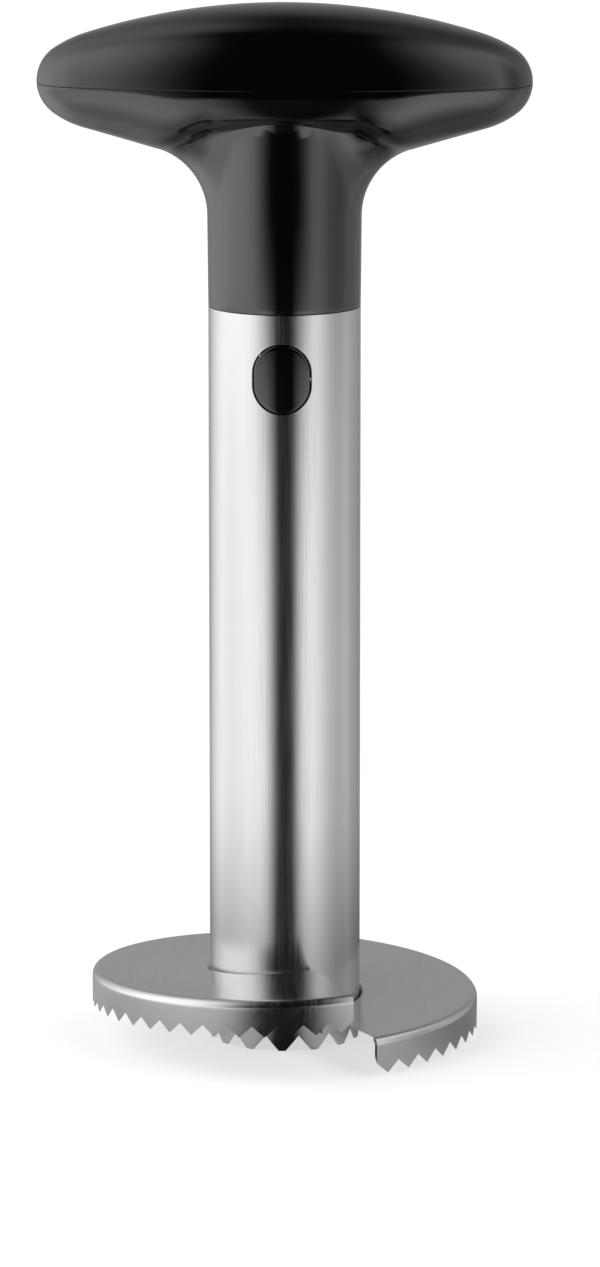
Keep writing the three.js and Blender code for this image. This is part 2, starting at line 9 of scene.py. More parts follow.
import logging
import math
from dataclasses import dataclass
from enum import Enum
from typing import Iterable, Sequence

import bpy
import numpy as np
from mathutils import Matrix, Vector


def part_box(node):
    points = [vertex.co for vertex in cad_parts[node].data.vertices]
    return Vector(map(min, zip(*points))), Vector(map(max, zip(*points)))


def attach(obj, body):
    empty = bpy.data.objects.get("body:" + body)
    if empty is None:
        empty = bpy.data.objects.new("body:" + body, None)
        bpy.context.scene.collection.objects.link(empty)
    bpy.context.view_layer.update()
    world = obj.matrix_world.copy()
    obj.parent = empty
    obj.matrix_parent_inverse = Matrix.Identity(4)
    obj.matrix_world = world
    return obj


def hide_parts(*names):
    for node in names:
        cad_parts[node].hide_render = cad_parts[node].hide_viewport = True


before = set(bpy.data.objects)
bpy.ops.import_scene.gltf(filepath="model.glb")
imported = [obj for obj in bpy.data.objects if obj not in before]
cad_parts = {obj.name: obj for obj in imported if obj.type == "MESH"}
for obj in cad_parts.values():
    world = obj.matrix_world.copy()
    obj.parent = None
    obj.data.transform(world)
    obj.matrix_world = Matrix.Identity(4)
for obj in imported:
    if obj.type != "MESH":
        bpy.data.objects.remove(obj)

log = logging.getLogger("slicer")

MM = 0.001
# Below this, a length in millimetres or a share counts as nothing.
TINY = 1e-6
# The largest share of a side that the rounding of one corner may take.
CORNER_SHARE = 0.45
# Height over the table at which the middles of both windows lie.
WINDOW_MIDDLE = 157.3
Array = np.ndarray
Pair = tuple[float, float]
Triple = tuple[float, float, float]
Socket = bpy.types.NodeSocket


class Body(Enum):
    """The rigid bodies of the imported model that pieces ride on."""

    CUTTER = "cutter"
    HANDLE = "handle"
    FRONT_BUTTON = "front_button"
    REAR_BUTTON = "rear_button"


class Slot(Enum):
    """The record's material slots."""

    TUBE = "tube_steel"
    BLADE = "blade_steel"
    GRIP = "grip_plastic"
    BUTTON = "button_plastic"
    INSERT = "insert_plastic"
    SCREW = "screw_steel"


class Side(Enum):
    """Front or rear of the tube, as the angle that turns the front on to it."""

    FRONT = 0.0
    REAR = math.pi


@dataclass(frozen=True)
class Skin:
    """Points in millimetres, and the faces between them."""

    points: Array
    quads: Array
    triangles: Array

    @staticmethod
    def of(points: Array, quads: Array | None = None, triangles: Array | None = None) -> Skin:
        """Makes a skin, with empty arrays where no faces of a kind are given.

        Args:
            points: n rows of x, y, z.
            quads: rows of four point numbers.
            triangles: rows of three point numbers.

        Returns:
            The skin.
        """
        four = np.zeros((0, 4), int) if quads is None else quads
        three = np.zeros((0, 3), int) if triangles is None else triangles
        return Skin(points, four, three)

    def corners(self) -> Array:
        """All faces as triangles, each quad cut along one diagonal.

        Returns:
            Rows of three point numbers.
        """
        first = self.quads[:, [0, 1, 2]]
        second = self.quads[:, [0, 2, 3]]
        return np.concatenate([first, second, self.triangles])

    def volume(self) -> float:
        """Signed volume: the sum over faces of the triple product of their corners, over six."""
        a, b, c = (self.points[self.corners()[:, i]] for i in range(3))
        return float(np.einsum("ij,ij->i", a, np.cross(b, c)).sum() / 6)

    def facing_out(self) -> Skin:
        """The same closed skin, turned round if its faces point inwards.

        Returns:
            A skin whose volume isn't negative.
        """
        if self.volume() >= 0:
            return self
        return Skin(self.points, self.quads[:, ::-1], self.triangles[:, ::-1])

    def turned(self, angle: float) -> Skin:
        """The skin turned about Z.

        Args:
            angle: how far it is turned, in radians.

        Returns:
            A skin with the same faces.
        """
        cosine, sine = math.cos(angle), math.sin(angle)
        spin = np.array([[cosine, sine, 0.0], [-sine, cosine, 0.0], [0.0, 0.0, 1.0]])
        return Skin(self.points @ spin, self.quads, self.triangles)


def joined(skins: Sequence[Skin]) -> Skin:
    """Several skins as one, each keeping its own points.

    Args:
        skins: the skins to put together.

    Returns:
        One skin with all their points and faces.
    """
    starts = np.cumsum([0] + [len(skin.points) for skin in skins[:-1]])
    return Skin(
        np.concatenate([skin.points for skin in skins]),
        np.concatenate([skin.quads + start for skin, start in zip(skins, starts)]),
        np.concatenate([skin.triangles + start for skin, start in zip(skins, starts)]),
    )


def cells(rows: int, columns: int) -> tuple[Array, Array, Array, Array]:
    """Point numbers at the four corners of each cell of a grid whose columns wrap round.

    The point in row i and column j has the number i times the columns plus j.

    Args:
        rows: rows of points.
        columns: points in a row.

    Returns:
        The cell's own corner, the one after it in the row, and the two over these, in that order.
    """
    row = np.arange(rows - 1)[:, None] * columns
    here = row + np.arange(columns)
    after = row + (np.arange(columns) + 1) % columns
    return here, after, after + columns, here + columns


def loft(rings: Array) -> Skin:
    """A closed skin over a stack of rings, with a fan to the middle of the first and of the last.

    Args:
        rings: an array of rows by columns by 3.

    Returns:
        The closed skin, facing out.
    """
    rows, columns, _ = rings.shape
    here, after, over_after, over_here = cells(rows, columns)
    quads = np.stack([here, after, over_after, over_here], -1).reshape(-1, 4)
    points = np.concatenate([rings.reshape(-1, 3), rings[[0, -1]].mean(axis=1)])
    low, high = rows * columns, rows * columns + 1
    foot = np.stack([np.full(columns, low), after[0], here[0]], -1)
    head = np.stack([np.full(columns, high), over_here[-1], over_after[-1]], -1)
    return Skin.of(points, quads, np.concatenate([foot, head])).facing_out()


def turned_body(profile: Array, columns: int) -> Skin:
    """A body turned about Z, from a profile that starts and ends on or near the axis.

    A point of the profile goes to radius times cosine, radius times sine and its height.

    Args:
        profile: rows of radius, height.
        columns: facets round the axis.

    Returns:
        The closed skin.
    """
    angle = np.linspace(0, 2 * math.pi, columns, endpoint=False)
    radius, height = profile[:, :1], profile[:, 1:]
    x, y = radius * np.cos(angle), radius * np.sin(angle)
    return loft(np.stack([x, y, np.broadcast_to(height, x.shape)], -1))


def arc(centre: Pair, radius: float, start: float, end: float, steps: int) -> Array:
    """Points along an arc, both ends included: centre plus radius times cosine and sine.

    Args:
        centre: the arc's centre.
        radius: its radius.
        start: the angle of its first point, in radians.
        end: the angle of its last point.
        steps: how many chords it has.

    Returns:
        Rows of two coordinates.
    """
    angle = np.linspace(start, end, steps + 1)
    return np.stack([centre[0] + radius * np.cos(angle), centre[1] + radius * np.sin(angle)], -1)


def eased(corners: Sequence[Pair], radius: float, steps: int = 4, closed: bool = False) -> Array:
    """A broken line whose corners are rounded by a curve between two points at a radius from each.

    The curve is the quadratic through both points with the corner as its handle.

    Args:
        corners: the line's corners.
        radius: how far from a corner its rounding starts, limited to under half of each side.
        steps: chords in each rounding.
        closed: whether the last corner joins the first.

    Returns:
        Rows of two coordinates.
    """
    points = np.array(corners, float)
    count = len(points)
    share = np.linspace(0, 1, steps + 1)[:, None]
    line: list[Array] = []
    for i in range(count):
        here = points[i]
        if not closed and i in (0, count - 1):
            line.append(here[None])
            continue
        before, after = points[i - 1] - here, points[(i + 1) % count] - here
        side_before, side_after = np.linalg.norm(before), np.linalg.norm(after)
        reach = min(radius, CORNER_SHARE * side_before, CORNER_SHARE * side_after)
        start = here + before / side_before * reach
        end = here + after / side_after * reach
        line.append((1 - share) ** 2 * start + 2 * share * (1 - share) * here + share**2 * end)
    return np.concatenate(line)


def smooth_step(share: Array) -> Array:
    """A share held between 0 and 1 and eased at both ends: 3 share^2 - 2 share^3."""
    held = np.clip(share, 0, 1)
    return held**2 * (3 - 2 * held)


@dataclass(frozen=True)
class Oval:
    """An upright oval with round ends, in the plane of X and Z."""

    width: float
    height: float
    centre: float

    def grown(self, by: float) -> Oval:
        """The oval with its edge moved outwards by a distance."""
        return Oval(self.width + 2 * by, self.height + 2 * by, self.centre)

    def reach(self, angle: Array) -> Array:
        """Distance from the centre to the edge: to a straight side, or else to the end's circle.

        Args:
            angle: directions in radians, 0 along +X and a quarter turn along +Z.

        Returns:
            The distance in each direction.
        """
        radius, straight = self.width / 2, (self.height - self.width) / 2
        cosine, sine = np.abs(np.cos(angle)), np.abs(np.sin(angle))
        side = radius / np.maximum(cosine, TINY)
        end = straight * sine + np.sqrt(np.maximum(radius**2 - (straight * cosine) ** 2, 0))
        return np.where(side * sine <= straight, side, end)


class NodeTree:
    """A small hand for building a shader's nodes and links."""

    def __init__(self, tree: bpy.types.NodeTree) -> None:
        """Empties the tree and keeps it."""
        self.tree = tree
        self.tree.nodes.clear()

    def add(
        self, kind: str, inputs: dict[str | int, object] | None = None, **settings: object
    ) -> bpy.types.Node:
        """Adds one node.

        Args:
            kind: Blender's node type.
            inputs: a value, or another node's output, for each named or numbered input.
            settings: the node's own properties.

        Returns:
            The node.
        """
        node = self.tree.nodes.new(kind)
        for name, value in settings.items():
            setattr(node, name, value)
        for name, value in (inputs or {}).items():
            if isinstance(value, Socket):
                self.tree.links.new(value, node.inputs[name])
            else:
                node.inputs[name].default_value = value
        return node

    def ramp(self, factor: Socket, stops: Sequence[Pair]) -> Socket:
        """Adds a ramp of greys.

        Args:
            factor: what drives it.
            stops: pairs of place and grey level, in order.

        Returns:
            The ramp's colour.
        """
        node = self.add("ShaderNodeValToRGB", {0: factor})
        elements = node.color_ramp.elements
        while len(elements) < len(stops):
            elements.new(1.0)
        for element, (place, grey) in zip(elements, stops):
            element.position = place
            element.color = (grey, grey, grey, 1.0)
        return node.outputs[0]

    def noise(self, scale: float, stretch: Triple, detail: float) -> Socket:
        """Adds a noise in object coordinates.

        Args:
            scale: blobs per metre.
            stretch: a factor on the scale along each axis.
            detail: octaves of finer noise.

        Returns:
            The noise's value.
        """
        place = self.add("ShaderNodeTexCoord")
        mapping = self.add("ShaderNodeMapping", {0: place.outputs["Object"], "Scale": stretch})
        inputs = {"Vector": mapping.outputs[0], "Scale": scale, "Detail": detail}
        return self.add("ShaderNodeTexNoise", inputs).outputs[0]

    def mix(
        self, factor: Socket | float, first: Socket | Sequence[float], second: Socket | Sequence[float]
    ) -> Socket:
        """Mixes two colours.

        Args:
            factor: 0 for the first, 1 for the second.
            first: a colour.
            second: a colour.

        Returns:
            The mixed colour.
        """
        inputs = {0: factor, 6: first, 7: second}
        return self.add("ShaderNodeMix", inputs, data_type="RGBA").outputs[2]

    def between(self, value: Socket, source: Pair, target: Pair = (0.0, 1.0)) -> Socket:
        """Maps one range on to another, with a smooth start and end.

        Args:
            value: what is mapped.
            source: where the value's range starts and ends, in rising order.
            target: what these two become.

        Returns:
            The mapped value.
        """
        inputs = {
            "Value": value,
            "From Min": source[0],
            "From Max": source[1],
            "To Min": target[0],
            "To Max": target[1],
        }
        return self.add("ShaderNodeMapRange", inputs, interpolation_type="SMOOTHSTEP").outputs[0]


@dataclass(frozen=True)
class Finish:
    """A surface finish: two near tones mixed by a cloudy noise, a grain and its relief."""

    name: str
    slot: Slot
    dark: Triple
    light: Triple
    roughness: Pair
    metallic: float = 0.0
    specular: float = 0.5
    cloud_scale: float = 60.0
    cloud_detail: float = 3.0
    grain_scale: float = 1800.0
    grain_stretch: Triple = (1.0, 1.0, 1.0)
    grain_detail: float = 4.0
    grain_span: Pair = (0.25, 0.75)
    grain_depth: float = 0.004
    relief: float = 0.6

    def build(self) -> bpy.types.Material:
        """Makes the material, or returns it if it is already there.

        Returns:
            A node material that reads object coordinates only.
        """
        if self.name in bpy.data.materials:
            return bpy.data.materials[self.name]
        material = bpy.data.materials.new(self.name)
        material.use_nodes = True
        nodes = NodeTree(material.node_tree)
        cloud = nodes.noise(self.cloud_scale, (1.0, 1.0, 1.0), self.cloud_detail)
        grain = nodes.noise(self.grain_scale, self.grain_stretch, self.grain_detail)
        tone = nodes.mix(cloud, (*self.dark, 1.0), (*self.light, 1.0))
        relief = nodes.add(
            "ShaderNodeBump",
            {"Height": grain, "Strength": self.relief, "Distance": self.grain_depth * MM},
        )
        shader = nodes.add(
            "ShaderNodeBsdfPrincipled",
            {
                "Base Color": tone,
                "Roughness": nodes.between(grain, self.grain_span, self.roughness),
                "Metallic": self.metallic,
                "Specular IOR Level": self.specular,
                "Normal": relief.outputs[0],
            },
        )
        nodes.add("ShaderNodeOutputMaterial", {0: shader.outputs[0]})
        return material


DRAWN_STEEL = Finish(
    "drawn_steel",
    Slot.TUBE,
    dark=(0.60, 0.60, 0.605),
    light=(0.64, 0.64, 0.645),
    roughness=(0.17, 0.25),
    metallic=1.0,
    grain_scale=2600.0,
    grain_stretch=(1.0, 1.0, 0.02),
    grain_depth=0.0012,
)
STAMPED_STEEL = Finish(
    "stamped_steel",
    Slot.BLADE,
    dark=(0.58, 0.58, 0.585),
    light=(0.64, 0.64, 0.645),
    roughness=(0.16, 0.26),
    metallic=1.0,
    cloud_scale=35.0,
    grain_scale=1500.0,
    grain_stretch=(1.0, 0.05, 0.3),
    grain_depth=0.0015,
)
SATIN_BLACK = Finish(
    "satin_black",
    Slot.GRIP,
    dark=(0.0022, 0.0022, 0.0023),
    light=(0.0034, 0.0034, 0.0035),
    roughness=(0.09, 0.12),
    specular=1.0,
    grain_scale=2200.0,
    grain_depth=0.004,
)
SMOOTH_BLACK = Finish(
    "smooth_black",
    Slot.BUTTON,
    dark=(0.0020, 0.0020, 0.0021),
    light=(0.0028, 0.0028, 0.0029),
    roughness=(0.07, 0.09),
    specular=1.0,
    grain_scale=2200.0,
    grain_depth=0.002,
)
INSERT_PLASTIC = Finish(
    "insert_plastic",
    Slot.INSERT,
    dark=(0.018, 0.018, 0.020),
    light=(0.026, 0.026, 0.028),
    roughness=(0.42, 0.52),
    grain_scale=1400.0,
    grain_depth=0.006,
)
ZINC = Finish(
    "zinc_plate",
    Slot.SCREW,
    dark=(0.50, 0.51, 0.53),
    light=(0.60, 0.61, 0.62),
    roughness=(0.28, 0.38),
    metallic=1.0,
    cloud_scale=400.0,
)


def place_mesh(name: str, skin: Skin, material: bpy.types.Material) -> bpy.types.Object:
    """Puts a skin into the scene as an object at the origin, with one material.

    Args:
        name: the object's name.
        skin: its points, in millimetres, and faces.
        material: what it is made of.

    Returns:
        The new object, flat shaded.
    """
    mesh = bpy.data.meshes.new(name)
    faces = [*skin.quads.tolist(), *skin.triangles.tolist()]
    mesh.from_pydata((skin.points * MM).tolist(), [], faces)
    mesh.materials.append(material)
    placed = bpy.data.objects.new(name, mesh)
    bpy.context.scene.collection.objects.link(placed)
    return placed


def add_piece(
    name: str,
    skin: Skin,
    finish: Finish,
    body: Body,
    stands_for: Iterable[str] = (),
    crease: float = 35.0,
) -> bpy.types.Object:
    """Adds a finished piece that rides on a body.

    Args:
        name: the piece's name.
        skin: its points, in millimetres, and faces.
        finish: its surface finish.
        body: the body that it moves with.
        stands_for: the model's nodes that it takes the place of.
        crease: the angle in degrees from which an edge stays sharp.

    Returns:
        The new object, smooth shaded.
    """
    piece = place_mesh(name, skin, finish.build())
    piece.data.shade_smooth()
    piece.data.set_sharp_from_angle(angle=math.radians(crease))
    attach(piece, body.value)
    if stands_for:
        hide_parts(*stands_for)
    log.info("%s: %d points, on %s", name, len(skin.points), body.value)
    return piece


def thicken(
    piece: bpy.types.Object, wall: float, edge: float, segments: int = 3, sharpest: float = 50.0
) -> None:
    """Gives an open skin its wall, inwards, and eases the wall's edges.

    Args:
        piece: the skin's object.
        wall: the wall in millimetres.
        edge: the width of the eased edge in millimetres.
        segments: strips across the eased edge.
        sharpest: the angle in degrees from which an edge is eased.
    """
    solid = piece.modifiers.new("wall", "SOLIDIFY")
    solid.thickness = wall * MM
    solid.offset = -1.0
    bevel = piece.modifiers.new("edge", "BEVEL")
    bevel.width = edge * MM
    bevel.segments = segments
    bevel.limit_method = "ANGLE"
    bevel.angle_limit = math.radians(sharpest)
    bevel.harden_normals = True


def node_size(name: str) -> tuple[Array, Array]:
    """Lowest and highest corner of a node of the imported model, in millimetres."""
    low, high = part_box(name)
    return np.array(low) / MM, np.array(high) / MM


def tube_size() -> tuple[float, float]:
    """Radius of the coring tube and height of its mouth, in millimetres."""
    _, high = node_size("core_tube")
    return float(high[0]), float(high[2])


@dataclass
class WindowedSleeve:
    """The outer skin of a round sleeve with an oval window at the front and one behind.

    Its grid has one equal group of columns for each tooth. Round each window a square patch of the
    grid gives way to rings that change from the window's edge to the patch's border.
    """

    radius: float
    bottom: float
    top: float
    window: Oval
    teeth: int = 14
    columns_per_tooth: int = 12
    tooth_tip: float = 1.6
    tooth_depth: float = 0.0
    tooth_band: float = 9.0
    band_rows: int = 6
    rows_under_patch: int = 4
    rows_over_patch: int = 2
    patch_columns: int = 14
    patch_rows: int = 30
    patch_margin: float = 2.6
    patch_rings: int = 6

    def column_offsets(self) -> Array:
        """Arc lengths from a tooth's centre to its columns: a step to its tip's corner, then even.

        Returns:
            One length for each column of a tooth.
        """
        half = math.pi * self.radius / self.teeth
        each = self.columns_per_tooth // 2
        outward = np.concatenate([[0.0], np.linspace(self.tooth_tip / 2, half, each)])
        return np.concatenate([-outward[1:-1][::-1], outward])

    def angles(self) -> Array:
        """Angle of every column, the first tooth's centre at the front.

        Returns:
            Angles in radians.
        """
        offsets = self.column_offsets() / self.radius
        starts = -math.pi / 2 + np.arange(self.teeth) * 2 * math.pi / self.teeth
        return (starts[:, None] + offsets).ravel()

    def foot(self) -> Array:
        """Height of the sleeve's foot: flat on a tooth's tip, then a straight flank.

        Returns:
            One height for each column.
        """
        half = math.pi * self.radius / self.teeth
        away = np.abs(self.column_offsets())
        flank = np.clip((away - self.tooth_tip / 2) / (half - self.tooth_tip / 2), 0, 1)
        return self.bottom + np.tile(flank * self.tooth_depth, self.teeth)

    def heights(self) -> tuple[Array, int, int]:
        """Heights of the rows above the toothed band, and where the windows' patches lie.

        Returns:
            The heights, and the patch's first and last row, counted from the foot.
        """
        low = self.window.centre - self.window.height / 2 - self.patch_margin
        high = self.window.centre + self.window.height / 2 + self.patch_margin
        band = self.bottom + self.tooth_band
        if band >= low:
            band = (self.bottom + low) / 2
        below = np.linspace(band, low, self.rows_under_patch + 1)[:-1]
        patch = np.linspace(low, high, self.patch_rows + 1)
        above = np.linspace(high, self.top, self.rows_over_patch + 1)[1:]
        first = self.band_rows + len(below)
        return np.concatenate([below, patch, above]), first, first + self.patch_rows

    def build(self) -> Skin:
        """The skin: radius times cosine and sine of each column's angle, at each row's height.

        Returns:
            The skin, open at both ends and at the windows, its faces pointing out.
        """
        theta = self.angles()
        count = len(theta)
        upper, first, last = self.heights()
        share = np.linspace(0, 1, self.band_rows, endpoint=False)[:, None]
        band = (1 - share) * self.foot() + share * upper[0]
        z = np.concatenate([band, np.repeat(upper[:, None], count, axis=1)])
        x, y = self.radius * np.cos(theta), self.radius * np.sin(theta)
        grid = np.stack([np.broadcast_to(x, z.shape), np.broadcast_to(y, z.shape), z], -1)
        points = [grid.reshape(-1, 3)]
        row = np.arange(len(z) - 1)[:, None]
        column = np.arange(count)[None, :]
        kept = np.ones((len(z) - 1, count), bool)
        rings = []
        for side in Side:
            middle = self.columns_per_tooth // 2 - 1 + (0 if side is Side.FRONT else count // 2)
            west = middle - self.patch_columns
            inside = (column - west) % count < 2 * self.patch_columns
            kept &= ~(inside & (row >= first) & (row < last))
            start = sum(len(block) for block in points)
            patch, quads = self.patch(grid, middle, first, last, start)
            points.append(patch)
            rings.append(quads)
        quads = np.stack(cells(len(z), count), -1)[kept]
        return Skin.of(np.concatenate(points), np.concatenate([quads, *rings]))

    def patch(self, grid: Array, middle: int, first: int, last: int, start: int) -> tuple[Array, Array]:
        """Rings between a window's edge and its patch's border, as seen from outside.

        A ring is a straight mix of the window's edge and the border, in the plane that faces the
        window, put back on the round sleeve. The border runs along the patch's foot, up its right
        side, back along its top and down its left side.

        Args:
            grid: the sleeve's points by row and column.
            middle: the window's middle column.
            first: the patch's first row.
            last: the patch's last row.
            start: the number of the patch's first new point.

        Returns:
            The new points, and the quads between them and the border.
        """
        count = grid.shape[1]
        reach = self.patch_columns
        along, upward = np.arange(-reach, reach), np.arange(first, last)
        wide, tall = np.ones_like(along), np.ones_like(upward)
        rows = np.concatenate([first * wide, upward, last * wide, upward[::-1] + 1])
        steps = np.concatenate([along, reach * tall, -along, -reach * tall])
        columns = (middle + steps) % count
        centre = math.atan2(grid[0, middle, 1], grid[0, middle, 0])
        turn = np.arctan2(grid[0, columns, 1], grid[0, columns, 0]) - centre
        across = self.radius * np.sin(turn)
        up = grid[rows, columns, 2] - self.window.centre
        angle = np.arctan2(up, across)
        edge = self.window.reach(angle)
        share = (np.arange(self.patch_rings) / self.patch_rings)[:, None]
        across = (1 - share) * edge * np.cos(angle) + share * across
        up = (1 - share) * edge * np.sin(angle) + share * up
        theta = centre + np.arcsin(across / self.radius)
        x, y = self.radius * np.cos(theta), self.radius * np.sin(theta)
        points = np.stack([x, y, up + self.window.centre], -1).reshape(-1, 3)
        index = start + np.arange(len(points)).reshape(self.patch_rings, -1)
        index = np.concatenate([index, (rows * count + columns)[None]])
        inner, outer = index[:-1], index[1:]
        ahead_in, ahead_out = np.roll(inner, -1, axis=1), np.roll(outer, -1, axis=1)
        return points, np.stack([inner, outer, ahead_out, ahead_in], -1).reshape(-1, 4)


@dataclass
class CoringTube:
    """The steel tube: drawn, with two windows and a ring of blunt-tipped teeth."""

    wall: float = 0.8
    tooth_depth: float = 3.6
    window: Oval = Oval(13.5, 16.1, WINDOW_MIDDLE)
    edge: float = 0.16

    def build(self) -> None:
        """Makes the tube from its windowed skin, with its wall and eased edges."""
        low, high = node_size("core_tube")
        sleeve = WindowedSleeve(
            radius=high[0], bottom=low[2], top=high[2], window=self.window, tooth_depth=self.tooth_depth
        )
        tube = add_piece("steel_tube", sleeve.build(), DRAWN_STEEL, Body.CUTTER, ["core_tube"])
        thicken(tube, self.wall, self.edge)


@dataclass
class SlicingBlade:
    """The helical blade, one stamping: flange, plate and toothed rim, with eased bends.

    Its section is a line, from the flange's foot over the plate to the rim's foot, with half the
    sheet's thickness on each side, and is carried along one turn of a right-hand helix.
    """

    thickness: float = 1.0
    pitch: float = 11.0
    rim_depth: float = 8.5
    flange_depth: float = 5.0
    floor_gap: float = 0.4
    bend: float = 1.3
    tooth_depth: float = 2.6
    tooth_count: int = 48
    slit_teeth: int = 1
    steps_per_tooth: int = 10
    slit_direction: float = math.radians(-60)
    tube_gap: float = 0.06
    edge_thickness: float = 0.12
    bevel_turn: float = math.radians(5)
    ground_band: float = 1.3
    flange_steps: int = 3
    bend_steps: int = 8
    plate_steps: int = 12
    rim_steps: int = 10
    crease: float = 30.0

    def midline(self, inner: float, outer: float, foot: Array) -> tuple[Array, Array]:
        """The middle line of every section, and its outward direction at each point.

        It is a straight flange, a quarter bend, the level plate, a quarter bend and a straight rim.

        Args:
            inner: the radius of the flange's middle.
            outer: the radius of the rim's middle.
            foot: for each section, the depth of the rim's foot under the plate's top.

        Returns:
            Points of radius and height by section, and unit directions, the same for every section,
            to the side that faces up and out.
        """
        plate = -self.thickness / 2
        bend, under = self.bend, plate - self.bend
        flange = np.linspace(-self.flange_depth, under, self.flange_steps + 1)[:-1]
        across = np.linspace(inner + bend, outer - bend, self.plate_steps + 1)[1:-1]
        sheet = np.concatenate(
            [
                np.stack([np.full(len(flange), inner), flange], -1),
                arc((inner + bend, under), bend, math.pi, math.pi / 2, self.bend_steps),
                np.stack([across, np.full(len(across), plate)], -1),
                arc((outer - bend, under), bend, math.pi / 2, 0, self.bend_steps),
            ]
        )
        share = np.linspace(0, 1, self.rim_steps + 1)[1:]
        rim = under - share * (foot[:, None] + under)
        turn = np.concatenate(
            [
                np.full(len(flange), math.pi),
                np.linspace(math.pi, math.pi / 2, self.bend_steps + 1),
                np.full(len(across), math.pi / 2),
                np.linspace(math.pi / 2, 0, self.bend_steps + 1),
                np.zeros(self.rim_steps),
            ]
        )
        sheets = np.broadcast_to(sheet, (len(foot), *sheet.shape))
        line = np.concatenate([sheets, np.stack([np.full_like(rim, outer), rim], -1)], axis=1)
        return line, np.stack([np.cos(turn), np.sin(turn)], -1)

    def sections(self, turn: Array, radius: float, tube: float) -> Array:
        """Closed sections of the sheet, as radius and height over the floor.

        One side lies half the sheet's thickness from the middle line, up and out. The other lies as
        far down and in, but nears the first where the rim and the cutting edge are ground thin.

        Args:
            turn: each section's angle from the cutting edge.
            radius: the blade's outer radius.
            tube: the tube's outer radius.

        Returns:
            Points by section and place: along the one side and back along the other.
        """
        step = 2 * math.pi / self.tooth_count
        foot = self.rim_depth - self.tooth_depth * np.abs(1 - 2 * ((turn / step) % 1.0))
        half = self.thickness / 2
        inner, outer = tube + self.tube_gap + half, radius - half
        line, out = self.midline(inner, outer, foot)
        thin = self.edge_thickness / self.thickness
        ground = np.clip((line[..., 1] + foot[:, None]) / self.ground_band, 0, 1)
        on_rim = line[..., 0] > outer - TINY
        inside = np.where(on_rim, half * (2 * (thin + (1 - thin) * ground) - 1), half)
        keen = np.minimum(turn / self.bevel_turn, 1.0)[:, None]
        on_plate = out[:, 1] > 1 - TINY
        inside = np.where(on_plate, inside * (2 * (thin + (1 - thin) * keen) - 1), inside)
        loops = np.concatenate([line + out * half, (line - out * inside[..., None])[:, ::-1]], axis=1)
        top = self.floor_gap + self.rim_depth + self.pitch * turn / (2 * math.pi)
        loops[..., 1] += top[:, None]
        return loops

    def build(self) -> None:
        """Makes the blade: sections along the helix, joined, with a strip across each end."""
        _, high = node_size("slicing_blade")
        steps = self.steps_per_tooth * (self.tooth_count - self.slit_teeth)
        turns = np.arange(steps + 1) * 2 * math.pi / (self.tooth_count * self.steps_per_tooth)
        loops = self.sections(turns, high[0], tube_size()[0])
        azimuth = (self.slit_direction + turns)[:, None]
        x, y = loops[..., 0] * np.cos(azimuth), loops[..., 0] * np.sin(azimuth)
        points = np.stack([x, y, loops[..., 1]], -1)
        count = points.shape[1]
        here, after, ahead_after, ahead_here = cells(steps + 1, count)
        quads = np.stack([here, ahead_here, ahead_after, after], -1).reshape(-1, 4)
        pair = np.arange(count // 2 - 1)
        strip = np.stack([pair, pair + 1, count - 2 - pair, count - 1 - pair], -1)
        ends = np.concatenate([strip, (strip + steps * count)[:, ::-1]])
        blade = Skin.of(points.reshape(-1, 3), np.concatenate([quads, ends])).facing_out()
        add_piece(
            "helical_blade", blade, STAMPED_STEEL, Body.CUTTER, ["slicing_blade"], self.crease
        )


